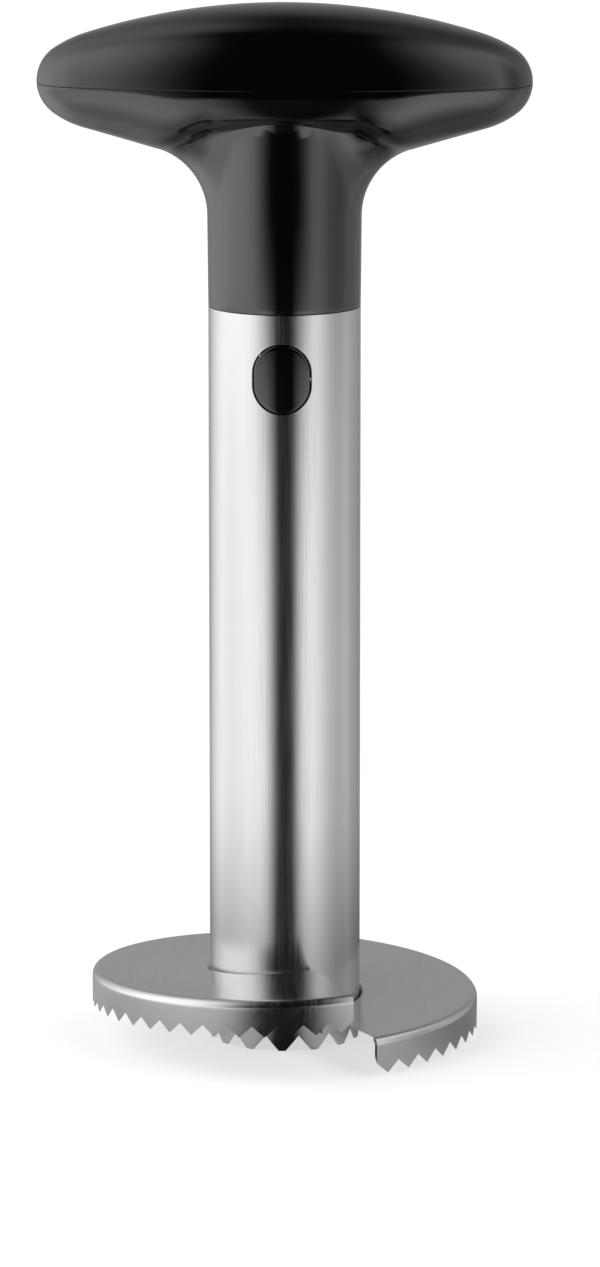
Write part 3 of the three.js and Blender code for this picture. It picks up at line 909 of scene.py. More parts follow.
@dataclass
class TeeHandle:
    """The T-handle: a lens-shaped crown and arms over a round neck, split by a level seam.

    The front view of an arm is a chain of tangent arcs, given as radius from the axis against
    height over the tube's mouth. Over the seam each ring is the plan's lens, shrunk, with its points
    raised to the crown. Under the seam the belly is a height over the plan, and the neck runs into it.
    """

    depth: float = 42.0
    seam: float = 51.0
    nose_height: float = 51.5
    nose: float = 9.0
    nose_to_underside: float = 9.78
    crown: float = 151.0
    shoulder: float = 30.0
    lower_shoulder: float = 20.0
    fillet: float = 16.0
    side: float = 138.0
    underside: float = math.radians(15.8)
    flare: float = 0.2
    wall: float = 2.4
    neck_wall: float = 2.5
    deck_underside: float = 18.3
    deck: float = 5.0
    seat_gap: float = 0.3
    seam_gap: float = 0.10
    seam_round: float = 0.10
    foot_gap: float = 0.10
    foot_round: float = 0.20
    lip_depth: float = 2.0
    lip: float = 1.2
    # The power of the belly's sections by the neck and at the tips, and where along an arm it turns.
    belly_by_neck: float = 3.0
    belly_by_tip: float = 1.8
    belly_start: float = 14.0
    belly_end: float = 40.0
    # The height at which the belly crosses the neck, and over what length it gets level.
    level: float = 39.5
    level_run: float = 14.0
    # The fillet's reach in front, as a share of that under the arms, and how fast it shrinks to it.
    front_fillet: float = 0.005
    fillet_focus: float = 11.0
    # The rounding of the crease in front, and how fast it fades towards the arms.
    crease: float = 2.4
    crease_focus: float = 5.0
    foot_margin: float = 1.0
    inside_step: float = 2.0
    deck_step: float = 0.02
    end_columns: int = 14
    side_columns: int = 36
    belly_rows: int = 44
    neck_rows: int = 14
    nose_steps: int = 16
    shoulder_steps: int = 12
    crown_steps: int = 45
    crown_gather: float = 1.25
    seam_steps: int = 4

    def __post_init__(self) -> None:
        """Takes the driving sizes from the model and works out the arcs' centres."""
        _, high = node_size("grip_cover")
        _, wide = node_size("grip_base")
        self.tube, self.mouth = tube_size()
        self.half = float(wide[0])
        self.height = float(high[2]) - self.mouth
        self.noses = (self.half - self.nose, self.nose_height)
        self.crown_centre = (0.0, self.height - self.crown)
        self.plan_offset = self.side - self.depth / 2
        spare = self.side**2 - self.plan_offset**2 - self.half**2
        self.plan_end = spare / (2 * (self.side - self.half))
        self.plan_end_centre = self.half - self.plan_end
        self.plan_turn = math.atan2(self.plan_offset, self.plan_end_centre)
        self.find_shoulders()

    def find_shoulders(self) -> None:
        """Centres of the arcs that touch the nose and the crown, and the nose and the underside."""
        nose, crown = np.array(self.noses), np.array(self.crown_centre)
        apart = float(np.linalg.norm(nose - crown))
        far, near = self.crown - self.shoulder, self.shoulder - self.nose
        along = (far**2 - near**2 + apart**2) / (2 * apart)
        aside = math.sqrt(max(far**2 - along**2, 0))
        ahead = (nose - crown) / apart
        self.shoulder_centre = crown + along * ahead + aside * np.array([-ahead[1], ahead[0]])
        slope = np.array([math.cos(self.underside), math.sin(self.underside)])
        inward = np.array([-slope[1], slope[0]])
        rise = self.lower_shoulder - self.nose_to_underside
        back = math.sqrt((self.lower_shoulder - self.nose) ** 2 - rise**2)
        self.lower_centre = nose + rise * inward - back * slope
        foot = nose - (self.nose_to_underside + self.fillet) * inward
        fillet_x = self.tube + self.flare + self.fillet
        climb = (fillet_x - foot[0]) * math.tan(self.underside)
        self.fillet_centre = (fillet_x, float(foot[1] + climb))

    def arm_height(self, radius: Array) -> Array:
        """Height of the arm's lowest line: fillet arc, straight slope, shoulder arc and nose arc.

        Args:
            radius: distances from the axis.

        Returns:
            Heights over the tube's mouth.
        """
        slope = self.underside
        middle, rise = self.fillet_centre
        fillet_end = middle - self.fillet * math.sin(slope)
        shoulder_start = self.lower_centre[0] + self.lower_shoulder * math.sin(slope)
        ahead = np.array(self.noses) - self.lower_centre
        nose_start = self.noses[0] + self.nose * ahead[0] / np.linalg.norm(ahead)
        fillet = rise + np.sqrt(np.maximum(self.fillet**2 - (middle - radius) ** 2, 0))
        line = self.slope_height(radius)
        away = radius - self.lower_centre[0]
        shoulder = self.lower_centre[1] - np.sqrt(np.maximum(self.lower_shoulder**2 - away**2, 0))
        away = radius - self.noses[0]
        nose = self.nose_height - np.sqrt(np.maximum(self.nose**2 - away**2, 0))
        where = [radius < fillet_end, radius < shoulder_start, radius < nose_start]
        return np.select(where, [fillet, line, shoulder], nose)

    def slope_height(self, radius: Array) -> Array:
        """Height of the straight part of the arm's lowest line, carried on both ways.

        Args:
            radius: distances from the axis.

        Returns:
            Heights over the tube's mouth.
        """
        middle, rise = self.fillet_centre
        start = middle - self.fillet * math.sin(self.underside)
        height = rise + self.fillet * math.cos(self.underside)
        return height + (radius - start) * math.tan(self.underside)

    def belly_height(self, across: Array) -> Array:
        """Lowest line of the arms alone: the arm's own, but level where it passes the neck.

        Args:
            across: distances from the axis, along the arms.

        Returns:
            Heights over the tube's mouth.
        """
        start = self.fillet_centre[0] - self.fillet * math.sin(self.underside)
        line = self.slope_height(across)
        inner = line + (self.level - line) * smooth_step((start - across) / self.level_run)
        return np.where(across < start, inner, self.arm_height(across))

    def half_width(self, across: Array, inset: float) -> Array:
        """Half the plan's depth at a distance along the arms, from its side arc or end arc.

        It is the root of the arc's radius squared less the distance from its centre squared.

        Args:
            across: distances from the axis, along the arms.
            inset: how far the plan is drawn in.

        Returns:
            Distances from the middle of an arm to its edge.
        """
        side, end = self.side - inset, self.plan_end - inset
        long_side = np.sqrt(np.maximum(side**2 - across**2, 0)) - self.plan_offset
        away = across - self.plan_end_centre
        end_arc = np.sqrt(np.maximum(end**2 - away**2, TINY))
        return np.where(across < side * math.cos(self.plan_turn), long_side, end_arc)

    def belly_rings(self) -> Array:
        """Rings of the underside, from the seam's edge in to the neck.

        Across an arm the belly is near a half ellipse: its depth under the seam is the middle's depth
        times one less the square of the share of the half width, to a power. The neck runs up into it
        and flares by the fillet, whose reach shrinks from the arms to the front, and where the two
        cross they are joined by the smooth minimum (a + b - sqrt((a - b)^2 + crease^2)) / 2.

        Returns:
            The rings' points.
        """
        top = self.seam - self.seam_round
        inset = self.nose_inset(top)
        angle, edge = self.directions(), self.plan(inset)
        neck = self.tube + self.flare
        share = (1 - np.cos(np.linspace(math.pi, 0, self.belly_rows))) / 2
        radius = neck + share[:, None] * (edge - neck)
        across, aside = np.abs(radius * np.cos(angle)), np.abs(radius * np.sin(angle))
        depth = np.maximum(top - self.belly_height(across), 0)
        turn = smooth_step((across - self.belly_start) / (self.belly_end - self.belly_start))
        power = self.belly_by_neck + (self.belly_by_tip - self.belly_by_neck) * turn
        within = np.clip(1 - (aside / self.half_width(across, inset)) ** 2, 0, 1)
        belly = top - depth * within ** (1 / power)
        focus = np.abs(np.cos(angle)) ** self.fillet_focus
        reach = self.front_fillet + (1 - self.front_fillet) * focus
        along = neck + (radius - neck) / reach
        flared = self.arm_height(along) + np.maximum(along - self.half, 0)
        crease = self.crease * (1 - np.abs(np.cos(angle)) ** self.crease_focus)
        height = (belly + flared - np.sqrt((belly - flared) ** 2 + crease**2)) / 2
        return self.points(radius, height)

    def neck_rings(self, start: Array) -> Array:
        """Rings of the neck, from the belly's inner ring down to just over the foot.

        The neck is as wide as the tube at its foot, and widens evenly up to the fillets.

        Args:
            start: the belly's inner ring.

        Returns:
            The rings' points.
        """
        foot = self.foot_gap + self.foot_margin
        share = np.linspace(1, 0, self.neck_rows + 1)[1:, None]
        height = foot + (start[:, 2] - self.mouth - foot) * share
        flared = np.clip((height - self.seat_gap) / (self.fillet_centre[1] - self.seat_gap), 0, 1)
        return self.points(self.tube + self.flare * flared, height)

    def upper_arm(self, inset: float, bottom: float) -> Array:
        """Front outline over the seam: nose arc, shoulder arc and crown arc.

        The crown's points lie closer together towards its top.

        Args:
            inset: how far the outline is drawn in.
            bottom: the height at which it starts.

        Returns:
            Rows of radius and height, from the bottom up to just short of the crown's top.
        """
        nose = np.array(self.noses)
        join = math.atan2(*(nose - self.shoulder_centre)[::-1])
        crown_join = math.atan2(*(self.shoulder_centre - np.array(self.crown_centre))[::-1])
        at_bottom = math.asin((bottom - self.nose_height) / (self.nose - inset))
        first = arc(self.noses, self.nose - inset, at_bottom, join, self.nose_steps)
        shoulder = self.shoulder - inset
        second = arc(self.shoulder_centre, shoulder, join, crown_join, self.shoulder_steps)[1:]
        share = 1 - (1 - np.linspace(0, 1, self.crown_steps + 1)[1:-1]) ** self.crown_gather
        angle = crown_join + (math.pi / 2 - crown_join) * share
        third = (self.crown - inset) * np.stack([np.cos(angle), np.sin(angle)], -1)
        return np.concatenate([first, second, third + self.crown_centre])

    def directions(self) -> Array:
        """Angles of the columns over a full turn, close together round the arms' ends.

        Round an end they are even steps of the end arc's own angle, and between the ends even angles.

        Returns:
            Angles in radians, from +X on.
        """
        join = self.join_direction(0.0)
        turn = np.linspace(0, self.plan_turn, self.end_columns, endpoint=False)
        x = self.plan_end_centre + self.plan_end * np.cos(turn)
        ends = np.arctan2(self.plan_end * np.sin(turn), x)
        sides = np.linspace(join, math.pi / 2, self.side_columns, endpoint=False)
        quarter = np.concatenate([ends, sides])
        mirrored = math.pi - np.concatenate([quarter[1:], [math.pi / 2]])[::-1]
        half = np.concatenate([quarter, mirrored])
        return np.concatenate([half, half + math.pi])

    def join_direction(self, inset: float) -> float:
        """Direction of the point where the plan's end arc meets its side arc.

        Args:
            inset: how far the plan is drawn in.

        Returns:
            An angle in radians between +X and +Y.
        """
        side = self.side - inset
        x = side * math.cos(self.plan_turn)
        return math.atan2(side * math.sin(self.plan_turn) - self.plan_offset, x)

    def plan(self, inset: float) -> Array:
        """Distance from the axis to the lens's outline in each column's direction.

        Along a ray at angle a it solves the circle equation of the side arc or of the end arc.

        Args:
            inset: how far the outline is drawn in.

        Returns:
            One distance for each column.
        """
        angle = self.directions()
        sine, cosine = np.abs(np.sin(angle)), np.abs(np.cos(angle))
        side, end = self.side - inset, self.plan_end - inset
        across = self.plan_offset * sine
        long_side = np.sqrt(across**2 - self.plan_offset**2 + side**2) - across
        along = self.plan_end_centre * cosine
        room = np.maximum(along**2 - self.plan_end_centre**2 + end**2, 0)
        folded = np.arctan2(sine, cosine)
        return np.where(folded > self.join_direction(inset), long_side, along + np.sqrt(room))

    def points(self, radius: Array, height: Array) -> Array:
        """Points from radii and heights over the mouth, both by row and column."""
        angle = self.directions()
        return np.stack([radius * np.cos(angle), radius * np.sin(angle), self.mouth + height], -1)

    def rings(self, radius: Array, height: Array) -> Array:
        """Level rings of points, from radii by row and column and heights by row."""
        return self.points(radius, np.broadcast_to(height[:, None], radius.shape))

    def upper_rings(self, outline: Array, inset: float) -> Array:
        """Rings over the seam: the lens shrunk to the outline's radius."""
        share = (outline[:, 0] / (self.half - inset))[:, None]
        return self.rings(share * self.plan(inset), outline[:, 1])

    def crown_height(self, across: Array) -> Array:
        """Height of the arm's highest line: crown arc, shoulder arc and nose arc.

        Args:
            across: distances from the axis, along the arms.

        Returns:
            Heights over the tube's mouth.
        """
        nose, crown = np.array(self.noses), np.array(self.crown_centre)
        shoulder = self.shoulder_centre
        turns = (shoulder - crown) / np.linalg.norm(shoulder - crown)
        ends = (nose - shoulder) / np.linalg.norm(nose - shoulder)
        circles = ((crown, self.crown), (shoulder, self.shoulder), (nose, self.nose))
        arcs = [
            centre[1] + np.sqrt(np.maximum(radius**2 - (across - centre[0]) ** 2, 0))
            for centre, radius in circles
        ]
        on_crown = across < crown[0] + self.crown * turns[0]
        on_shoulder = across < shoulder[0] + self.shoulder * ends[0]
        return np.select([on_crown, on_shoulder], arcs[:2], arcs[2])

    def crown_rings(self, outline: Array) -> Array:
        """Rings of the crown, from its top down to the seam's edge.

        Across an arm the crown is a half ellipse: its rise over the nose's widest point is the
        highest line's rise times sqrt(1 - (distance from the middle / half width)^2).

        Args:
            outline: the front outline, which sets each ring's share of the lens.

        Returns:
            The rings' points.
        """
        radius = (outline[:, 0] / self.half)[:, None] * self.plan(0.0)
        angle = self.directions()
        across, aside = np.abs(radius * np.cos(angle)), np.abs(radius * np.sin(angle))
        within = np.clip(1 - (aside / self.half_width(across, 0.0)) ** 2, 0, 1)
        rise = (self.crown_height(across) - self.nose_height) * np.sqrt(within)
        level = outline[:, 1:]
        return self.points(radius, np.where(level > self.nose_height, self.nose_height + rise, level))

    def plan_rings(self, steps: Sequence[Pair]) -> Array:
        """Rings with the lens's shape, one for each pair of inset and height."""
        radius = np.stack([self.plan(inset) for inset, _ in steps])
        return self.rings(radius, np.array([height for _, height in steps]))

    def round_rings(self, steps: Sequence[Pair]) -> Array:
        """Circular rings, one for each pair of radius and height."""
        sizes = np.array(steps)
        return self.rings(np.repeat(sizes[:, :1], len(self.directions()), axis=1), sizes[:, 1])

    def nose_inset(self, height: float) -> float:
        """How far the nose lies inside its widest point at a height."""
        return self.nose - math.sqrt(self.nose**2 - (height - self.nose_height) ** 2)

    def seam_edge(self, height: float, away: float) -> list[Pair]:
        """Inset and height along the rounded outer edge of the seam, from the outside in.

        Args:
            height: the height of the edge's flat face.
            away: 1 where the piece lies over that face, -1 where it lies under it.

        Returns:
            Pairs of inset and height.
        """
        base = self.nose_inset(height + away * self.seam_round)
        radius = self.seam_round
        return [
            (base + radius * (1 - math.cos(turn)), height + away * radius * (1 - math.sin(turn)))
            for turn in np.linspace(0, math.pi / 2, self.seam_steps + 1)
        ]

    def inner_rings(self, outer: Array) -> Array:
        """The inside of the shell: the outer rings moved in by the wall, down to the deck.

        The direction to move in is the cross product of the steps along rows and columns. Rings that
        would lie under the deck are laid on it, a hair's breadth apart.

        Args:
            outer: the outside's rings, from the seam down.

        Returns:
            The inside's rings, from the deck up.
        """
        along = np.gradient(outer, axis=0)
        around = np.roll(outer, -1, axis=1) - np.roll(outer, 1, axis=1)
        normal = np.cross(along, around)
        normal /= np.linalg.norm(normal, axis=2, keepdims=True)
        outward = np.sign((normal * (outer - [0, 0, self.mouth + self.seam])).sum())
        inner = (outer - normal * outward * self.wall)[::-1]
        floor = self.mouth + self.deck_underside + self.deck
        rise = floor + self.deck_step * np.arange(1, len(inner) + 1)[:, None]
        inner[..., 2] = np.maximum(inner[..., 2], np.minimum(rise, self.mouth + self.seam))
        radius = self.tube - self.neck_wall
        start = self.round_rings([(radius, self.deck_underside + self.deck)])
        return np.concatenate([start, inner])

    def build_base(self) -> None:
        """Makes the lower half: cavity, seam edge, belly, neck, foot, bore and deck."""
        belly = self.belly_rings()
        edge = self.plan_rings(self.seam_edge(self.seam, -1.0)[::-1])
        bore = self.tube - self.neck_wall
        foot = eased(
            [
                (self.tube, self.foot_gap + self.foot_margin),
                (self.tube, self.foot_gap),
                (bore, self.foot_gap),
                (bore, self.deck_underside),
            ],
            self.foot_round,
        )
        parts = [
            self.inner_rings(belly),
            edge[:-1],
            belly,
            self.neck_rings(belly[-1]),
            self.round_rings(foot[1:]),
        ]
        base = loft(np.concatenate(parts))
        add_piece("handle_base", base, SATIN_BLACK, Body.HANDLE, ["grip_base"])

    def build_cover(self) -> None:
        """Makes the upper half: crown, seam edge, lip, and the inside of the shell."""
        low, foot = self.seam + self.seam_gap, self.seam - self.lip_depth
        outer = self.crown_rings(self.upper_arm(0.0, low + self.seam_round)[::-1])
        edge = self.plan_rings(self.seam_edge(low, 1.0))
        lip_out = self.wall + 2 * self.seat_gap + self.nose_inset(foot)
        lip_in, start = lip_out + self.lip, low + self.inside_step
        lip = self.plan_rings([(lip_out, low), (lip_out, foot), (lip_in, foot), (lip_in, start)])
        inner = self.upper_arm(self.wall, start)
        inner = inner[inner[:, 0] < self.half - lip_in]
        inside = self.upper_rings(inner, self.wall)
        cover = loft(np.concatenate([outer, edge, lip, inside]))
        add_piece("handle_cover", cover, SATIN_BLACK, Body.HANDLE, ["grip_cover"])

    def build(self) -> None:
        """Makes both halves of the handle."""
        self.build_base()
        self.build_cover()


@dataclass
class TubeInsert:
    """The insert under the handle: windowed skirt, collar and the cap that closes it."""

    wall: float = 2.2
    collar_wall: float = 2.0
    collar_depth: float = 4.0
    top_thickness: float = 5.0
    slide_gap: float = 0.3
    cap: float = 2.0
    plug_wall: float = 1.6
    edge: float = 0.25
    mouth_gap: float = 0.01
    hub: float = 0.3
    columns: int = 168
    window: Oval = Oval(15.5, 17.1, WINDOW_MIDDLE)
    window_columns: int = 16
    window_margin: float = 1.6

    def build(self) -> None:
        """Makes the skirt, the collar with its closed top, and the cap."""
        low, high = node_size("tube_insert")
        _, mouth = tube_size()
        skirt = WindowedSleeve(
            radius=high[0],
            bottom=low[2],
            top=mouth - self.mouth_gap,
            window=self.window,
            patch_columns=self.window_columns,
            patch_margin=self.window_margin,
        )
        sleeve = add_piece("insert_skirt", skirt.build(), INSERT_PLASTIC, Body.HANDLE, ["tube_insert"])
        thicken(sleeve, self.wall, self.edge)
        self.build_collar(high[2])
        self.build_cap(high[0])

    def build_collar(self, top: float) -> None:
        """Makes the collar that stands in the neck with a sliding gap, a cup turned upside down.

        Args:
            top: the height of its closed top.
        """
        tube, mouth = tube_size()
        outside = tube - TeeHandle.neck_wall - self.slide_gap
        foot, roof = mouth - self.collar_depth, top - self.top_thickness
        bore = outside - self.collar_wall
        corners = [
            (self.hub, top),
            (outside, top),
            (outside, foot),
            (bore, foot),
            (bore, roof),
            (self.hub, roof),
        ]
        collar = turned_body(eased(corners, self.edge), self.columns)
        add_piece("insert_collar", collar, INSERT_PLASTIC, Body.HANDLE)

    def build_cap(self, radius: float) -> None:
        """Makes the cap, a disc with a hollow plug that enters the skirt.

        Args:
            radius: the outer radius of the disc and of the skirt over it.
        """
        low, high = node_size("insert_cap")
        bottom, top = low[2], high[2]
        plug = radius - self.wall - self.slide_gap
        bore, rim = plug - self.plug_wall, bottom + self.cap
        corners = [
            (self.hub, bottom),
            (radius, bottom),
            (radius, rim),
            (plug, rim),
            (plug, top),
            (bore, top),
            (bore, rim),
            (self.hub, rim),
        ]
        cap = turned_body(eased(corners, self.edge), self.columns)
        add_piece("insert_plug_cap", cap, INSERT_PLASTIC, Body.HANDLE, ["insert_cap"])


@dataclass
class ReleaseButton:
    """An oval pad that follows the tube's curve, on a flat spring arm with a cross head."""

    side: Side
    pad: Oval = Oval(12.8, 15.6, WINDOW_MIDDLE)
    proud: float = 0.12
    edge: float = 0.25
    wall_step: float = 1.0
    wall_draft: float = 0.96
    back_draft: float = 0.86
    arm_width: float = 9.0
    arm_thickness: float = 1.6
    head_lug: float = 1.5
    head_height: float = 1.9
    arm_round: float = 0.3
    tail_share: float = 1 / 3
    columns: int = 120
    face_rings: int = 14
    middle_share: float = 0.02
    edge_steps: int = 6

    def pad_skin(self, radius: float, back: float) -> Skin:
        """The pad: rings from its middle to its rounded edge, down its wall and over its back.

        A ring is the oval shrunk towards its middle or drawn in from its edge. Its depth is measured
        from the tube's round surface at the front, and from a flat plane at the back. The wall is
        drawn in towards the back, as the edges of the windows that it passes are.

        Args:
            radius: radius of the pad's face.
            back: distance of the pad's flat back from the tube's axis.

        Returns:
            The closed skin, at the front.
        """
        angle = np.linspace(0, 2 * math.pi, self.columns, endpoint=False)
        face = self.pad.grown(-self.edge)
        shares = np.linspace(self.middle_share, 1, self.face_rings)
        reach = [share * face.reach(angle) for share in shares]
        sink = [0.0] * len(reach)
        for turn in np.linspace(0, math.pi / 2, self.edge_steps + 1)[1:]:
            reach.append(self.pad.grown(-self.edge * (1 - math.sin(turn))).reach(angle))
            sink.append(self.edge * (1 - math.cos(turn)))
        out = np.stack(reach)
        x, z = out * np.cos(angle), out * np.sin(angle) + self.pad.centre
        front = np.sqrt((radius - np.array(sink)[:, None]) ** 2 - x**2)
        level = np.full(self.columns, -back)
        wall = [
            np.stack([x[-1] * self.wall_draft, self.wall_step - front[-1], z[-1]], -1),
            np.stack([x[-1] * self.back_draft, level, z[-1]], -1),
            np.stack([x[0], level, z[0]], -1),
        ]
        return loft(np.concatenate([np.stack([x, -front, z], -1), np.stack(wall)]))

    def arm_skin(self, face: float, low: float, high: float) -> Skin:
        """The arm: a stack of level rounded rectangles from its tail up to the cross head.

        Args:
            face: distance of the arm's outer face from the tube's axis.
            low: height of the arm's tail.
            high: height of the head's top.

        Returns:
            The closed skin, at the front.
        """
        half, ease = self.arm_width / 2, self.arm_round
        tail = ease * self.tail_share
        neck = high - self.head_height
        wide = half + self.head_lug
        steps = [
            (half - ease, low),
            (half - tail, low + tail),
            (half, low + ease),
            (half, neck),
            (wide, neck),
            (wide, high - ease),
            (wide - ease, high),
        ]
        thick = self.arm_thickness / 2
        rings = []
        for width, height in steps:
            corners = [(width, thick), (-width, thick), (-width, -thick), (width, -thick)]
            outline = eased(corners, ease, closed=True)
            y = outline[:, 1] - face + thick
            rings.append(np.stack([outline[:, 0], y, np.full(len(y), height)], -1))
        return loft(np.stack(rings))

    def build(self) -> None:
        """Makes the button at its side of the tube."""
        name = self.side.name.lower()
        low, high = node_size("release_button_front")
        face = -float(high[1]) + self.arm_thickness
        pad = self.pad_skin(tube_size()[0] + self.proud, face - self.arm_thickness / 2)
        arm = self.arm_skin(face, float(low[2]), float(high[2]))
        skin = joined([pad, arm]).turned(-self.side.value)
        body = Body[f"{self.side.name}_BUTTON"]
        add_piece(f"button_{name}", skin, SMOOTH_BLACK, body, [f"release_button_{name}"])


@dataclass
class Screws:
    """The four hidden screws, kept as the model has them and given their zinc finish."""

    nodes: tuple[str, ...] = (
        "cover_screw_left",
        "cover_screw_right",
        "insert_screw_front",
        "insert_screw_rear",
    )

    def build(self) -> None:
        """Gives each screw its finish."""
        for name in self.nodes:
            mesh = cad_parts[name].data
            mesh.materials.clear()
            mesh.materials.append(ZINC.build())
            log.info("%s: finished as %s", name, ZINC.name)


@dataclass
class Studio:
    """Camera, soft light and pale floor.

    The camera's place, tilt and focal length, in pixels of the 1267 pixel high picture, come from
    fitting the tube's mouth, the handle's tips, its seam and the button to the photograph.
    """

    azimuth: float = math.radians(2.0)
    distance: float = 1400.0
    height: float = 365.9
    tilt: float = math.radians(10.94)
    sideways: float = 3.54
    focal_pixels: float = 6152.0
    picture_height: float = 1267.0
    sensor: float = 36.0
    clip: Pair = (0.05, 50.0)
    floor_radius: float = 4000.0
    floor_middle: float = 20.0
    floor_gap: float = 0.02
    floor_thickness: float = 4.0
    floor_columns: int = 96
    floor_rings: int = 14
    floor_tone: float = 0.82
    floor_glow: float = 0.60
    light: float = 1.8
    # Brightness against a direction's sideways part, for what stands near, far away and behind. The
    # world shines with the far and rear ones; the floor's glow for metal and glass is painted light
    # from all three, and only it uses the near one.
    near_light: tuple[Pair, ...] = (
        (-1.00, 0.72),
        (-0.90, 0.78),
        (-0.76, 0.80),
        (-0.62, 0.78),
        (-0.50, 0.72),
        (-0.40, 0.54),
        (-0.30, 0.26),
        (-0.20, 0.02),
        (0.20, 0.01),
        (0.29, 0.24),
        (0.38, 0.50),
        (0.50, 0.70),
        (0.64, 0.76),
        (0.78, 0.66),
        (0.90, 0.50),
        (1.00, 0.36),
    )
    far_light: tuple[Pair, ...] = (
        (-1.00, 0.92),
        (-0.92, 0.90),
        (-0.83, 0.82),
        (-0.73, 0.66),
        (-0.62, 0.42),
        (-0.52, 0.20),
        (-0.42, 0.05),
        (-0.34, 0.00),
        (0.34, 0.00),
        (0.44, 0.06),
        (0.56, 0.24),
        (0.67, 0.48),
        (0.78, 0.56),
        (0.88, 0.44),
        (0.95, 0.30),
        (1.00, 0.24),
    )
    rear_light: tuple[Pair, ...] = (
        (-1.00, 0.85),
        (-0.85, 0.68),
        (-0.70, 0.52),
        (-0.58, 0.44),
        (-0.45, 0.38),
        (-0.31, 0.28),
        (-0.20, 0.13),
        (-0.11, 0.05),
        (0.00, 0.02),
        (0.20, 0.06),
        (0.37, 0.11),
        (0.50, 0.16),
        (0.69, 0.26),
        (0.90, 0.28),
        (1.00, 0.40),
    )
    # How far a direction points to the rear where the rear light sets in, and where it is alone.
    rear_start: float = 0.05
    rear_end: float = 0.60
    # The grey straight behind, and how far a direction points to the rear where it sets in.
    backdrop: float = 0.225
    backdrop_start: float = 0.72
    # The distances along the floor between which the near light gives way to the far light.
    near_end: float = 1000.0
    far_start: float = 1200.0
    # The share of a direction's rise that counts.
    squash: float = 0.5
    # Painted shade of the slicer on the floor's glow, as metal mirrors it: where it starts, where it is
    # full, and how deep.
    shade_start: float = 300.0
    shade_end: float = 40.0
    shade: float = 0.35

    def place_camera(self) -> None:
        """Makes the camera, looking along +Y turned by the azimuth and tilted down."""
        data = bpy.data.cameras.new("camera")
        data.sensor_fit = "AUTO"
        data.sensor_width = self.sensor
        data.lens = self.focal_pixels / self.picture_height * self.sensor
        data.clip_start, data.clip_end = self.clip
        camera = bpy.data.objects.new("camera", data)
        right = np.array([math.cos(self.azimuth), math.sin(self.azimuth), 0.0])
        back = np.array([math.sin(self.azimuth), -math.cos(self.azimuth), 0.0])
        place = back * self.distance + right * self.sideways
        camera.location = (place[0] * MM, place[1] * MM, self.height * MM)
        camera.rotation_euler = (math.pi / 2 - self.tilt, 0.0, self.azimuth)
        bpy.context.scene.collection.objects.link(camera)
        bpy.context.scene.camera = camera

    def level(self, nodes: NodeTree, direction: Socket, far: Socket | float) -> Socket:
        """The studio's brightness in a direction: two broad soft lights with a dark gap in front.

        It follows the direction's sideways part, through one ramp for what stands near, one for what
        stands far away, and one for what stands overhead and behind. Straight behind is the backdrop.

        Args:
            nodes: the shader that it is added to.
            direction: a level or unit direction in the frame's axes.
            far: 0 for near, 1 for far.

        Returns:
            A grey from 0 to 1, to be multiplied by the light's strength.
        """
        rotation, scale = (0.0, 0.0, -self.azimuth), (1.0, 1.0, self.squash)
        inputs = {0: direction, "Rotation": rotation, "Scale": scale}
        turned = nodes.add("ShaderNodeMapping", inputs)
        unit = nodes.add("ShaderNodeVectorMath", {0: turned.outputs[0]}, operation="NORMALIZE")
        parts = nodes.add("ShaderNodeSeparateXYZ", {0: unit.outputs[0]})
        sideways = nodes.add("ShaderNodeMapRange", {"Value": parts.outputs[0], "From Min": -1.0})
        near_level, far_level, rear_level = (
            nodes.ramp(sideways.outputs[0], [((x + 1) / 2, grey) for x, grey in stops])
            for stops in (self.near_light, self.far_light, self.rear_light)
        )
        behind = nodes.between(parts.outputs[1], (self.rear_start, self.rear_end))
        front = nodes.mix(far, near_level, far_level)
        around = nodes.mix(behind, front, rear_level)
        straight = nodes.between(parts.outputs[1], (self.backdrop_start, 1.0))
        return nodes.mix(straight, around, (self.backdrop,) * 3 + (1.0,))

    def light_world(self) -> None:
        """Makes the world: the studio's far light, and plain white where the camera looks past it."""
        world = bpy.data.worlds.new("studio")
        bpy.context.scene.world = world
        world.use_nodes = True
        nodes = NodeTree(world.node_tree)
        place = nodes.add("ShaderNodeTexCoord")
        around = self.level(nodes, place.outputs["Generated"], 1.0)
        studio = nodes.add("ShaderNodeBackground", {0: around, 1: self.light})
        white = nodes.add("ShaderNodeBackground", {0: (1.0, 1.0, 1.0, 1.0), 1: 1.0})
        path = nodes.add("ShaderNodeLightPath")
        both = nodes.add(
            "ShaderNodeMixShader",
            {0: path.outputs["Is Camera Ray"], 1: studio.outputs[0], 2: white.outputs[0]},
        )
        nodes.add("ShaderNodeOutputWorld", {0: both.outputs[0]})

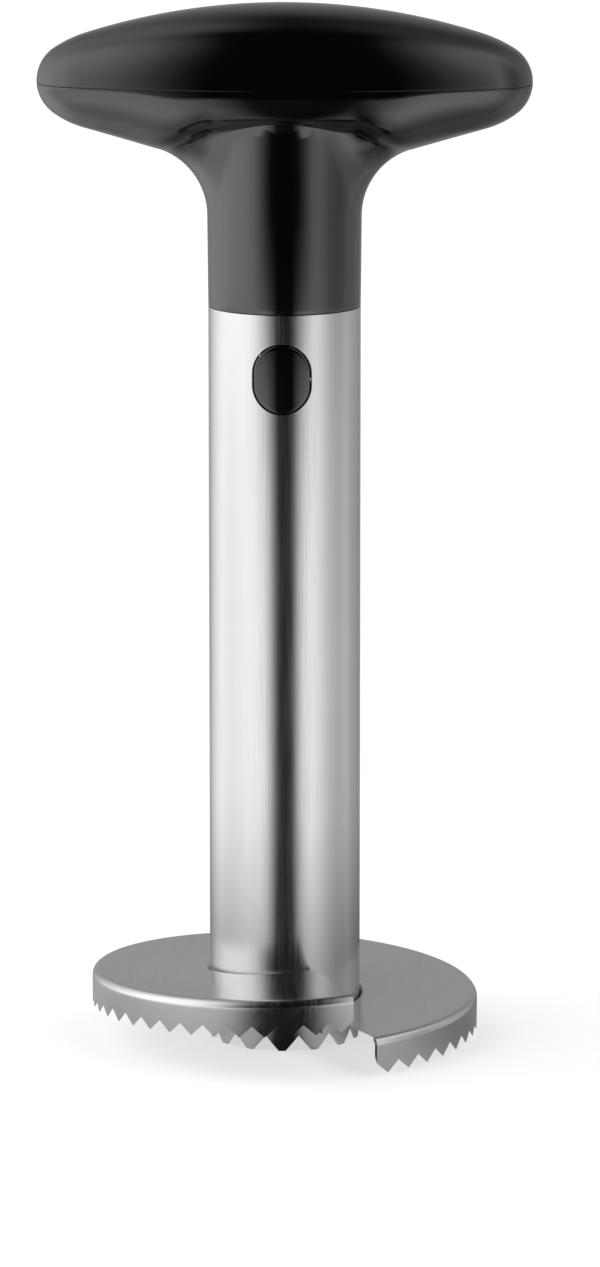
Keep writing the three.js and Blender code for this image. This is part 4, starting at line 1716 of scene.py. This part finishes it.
    def floor_material(self) -> bpy.types.Material:
        """Makes the floor's matt white, which keeps the shadow and lifts to white for the camera.

        Metal and glass see the floor as painted light, an emission of the studio's pattern: by
        direction from the tool, near or far, with a painted shade near the tool.

        Returns:
            The material.
        """
        material = bpy.data.materials.new("pale_floor")
        material.use_nodes = True
        nodes = NodeTree(material.node_tree)
        tone, glow = (self.floor_tone,) * 3, (self.floor_glow,) * 3
        path = nodes.add("ShaderNodeLightPath")
        matt = nodes.add("ShaderNodeBsdfDiffuse", {0: (*tone, 1.0)})
        lift = nodes.add("ShaderNodeEmission", {0: (*glow, 1.0), 1: path.outputs["Is Camera Ray"]})
        plain = nodes.add("ShaderNodeAddShader", {0: matt.outputs[0], 1: lift.outputs[0]})
        place = nodes.add("ShaderNodeTexCoord").outputs["Object"]
        direction = nodes.add("ShaderNodeVectorMath", {0: place}, operation="NORMALIZE")
        away = nodes.add("ShaderNodeVectorMath", {0: place}, operation="LENGTH")
        reach = away.outputs["Value"]
        far = nodes.between(reach, (self.near_end * MM, self.far_start * MM))
        around = self.level(nodes, direction.outputs[0], far)
        # Painted shade: the floor's glow for metal and glass dims near the slicer.
        shaded = (self.shade_end * MM, self.shade_start * MM)
        strength = nodes.between(reach, shaded, (self.shade * self.light, self.light))
        # Painted light: for metal and glass the floor glows with the studio's pattern, though it is no
        # lamp.
        painted_light = nodes.add("ShaderNodeEmission", {0: around, 1: strength})
        mirrored = nodes.add(
            "ShaderNodeMath",
            {0: path.outputs["Is Glossy Ray"], 1: path.outputs["Is Transmission Ray"]},
            operation="MAXIMUM",
        )
        both = nodes.add(
            "ShaderNodeMixShader", {0: mirrored.outputs[0], 1: plain.outputs[0], 2: painted_light.outputs[0]}
        )
        nodes.add("ShaderNodeOutputMaterial", {0: both.outputs[0]})
        return material

    def lay_floor(self) -> None:
        """Makes the round floor, a thin disc just under the object."""
        radius = np.geomspace(self.floor_radius, self.floor_middle, self.floor_rings)
        top = np.stack([radius, np.full(len(radius), -self.floor_gap)], -1)
        underside = top[:1] - [0.0, self.floor_thickness]
        disc = turned_body(np.concatenate([underside, top]), self.floor_columns)
        floor = place_mesh("floor", disc, self.floor_material())

    def build(self) -> None:
        """Makes the camera, the light and the floor."""
        bpy.context.scene.view_settings.view_transform = "Standard"
        self.place_camera()
        self.light_world()
        self.lay_floor()


def main() -> None:
    """Builds the studio and each sub-assembly in order."""
    logging.basicConfig(level=logging.INFO, format="%(name)s: %(message)s")
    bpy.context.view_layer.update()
    Studio().build()
    CoringTube().build()
    SlicingBlade().build()
    TeeHandle().build()
    TubeInsert().build()
    ReleaseButton(Side.FRONT).build()
    ReleaseButton(Side.REAR).build()
    Screws().build()


if __name__ == "__main__":
    main()
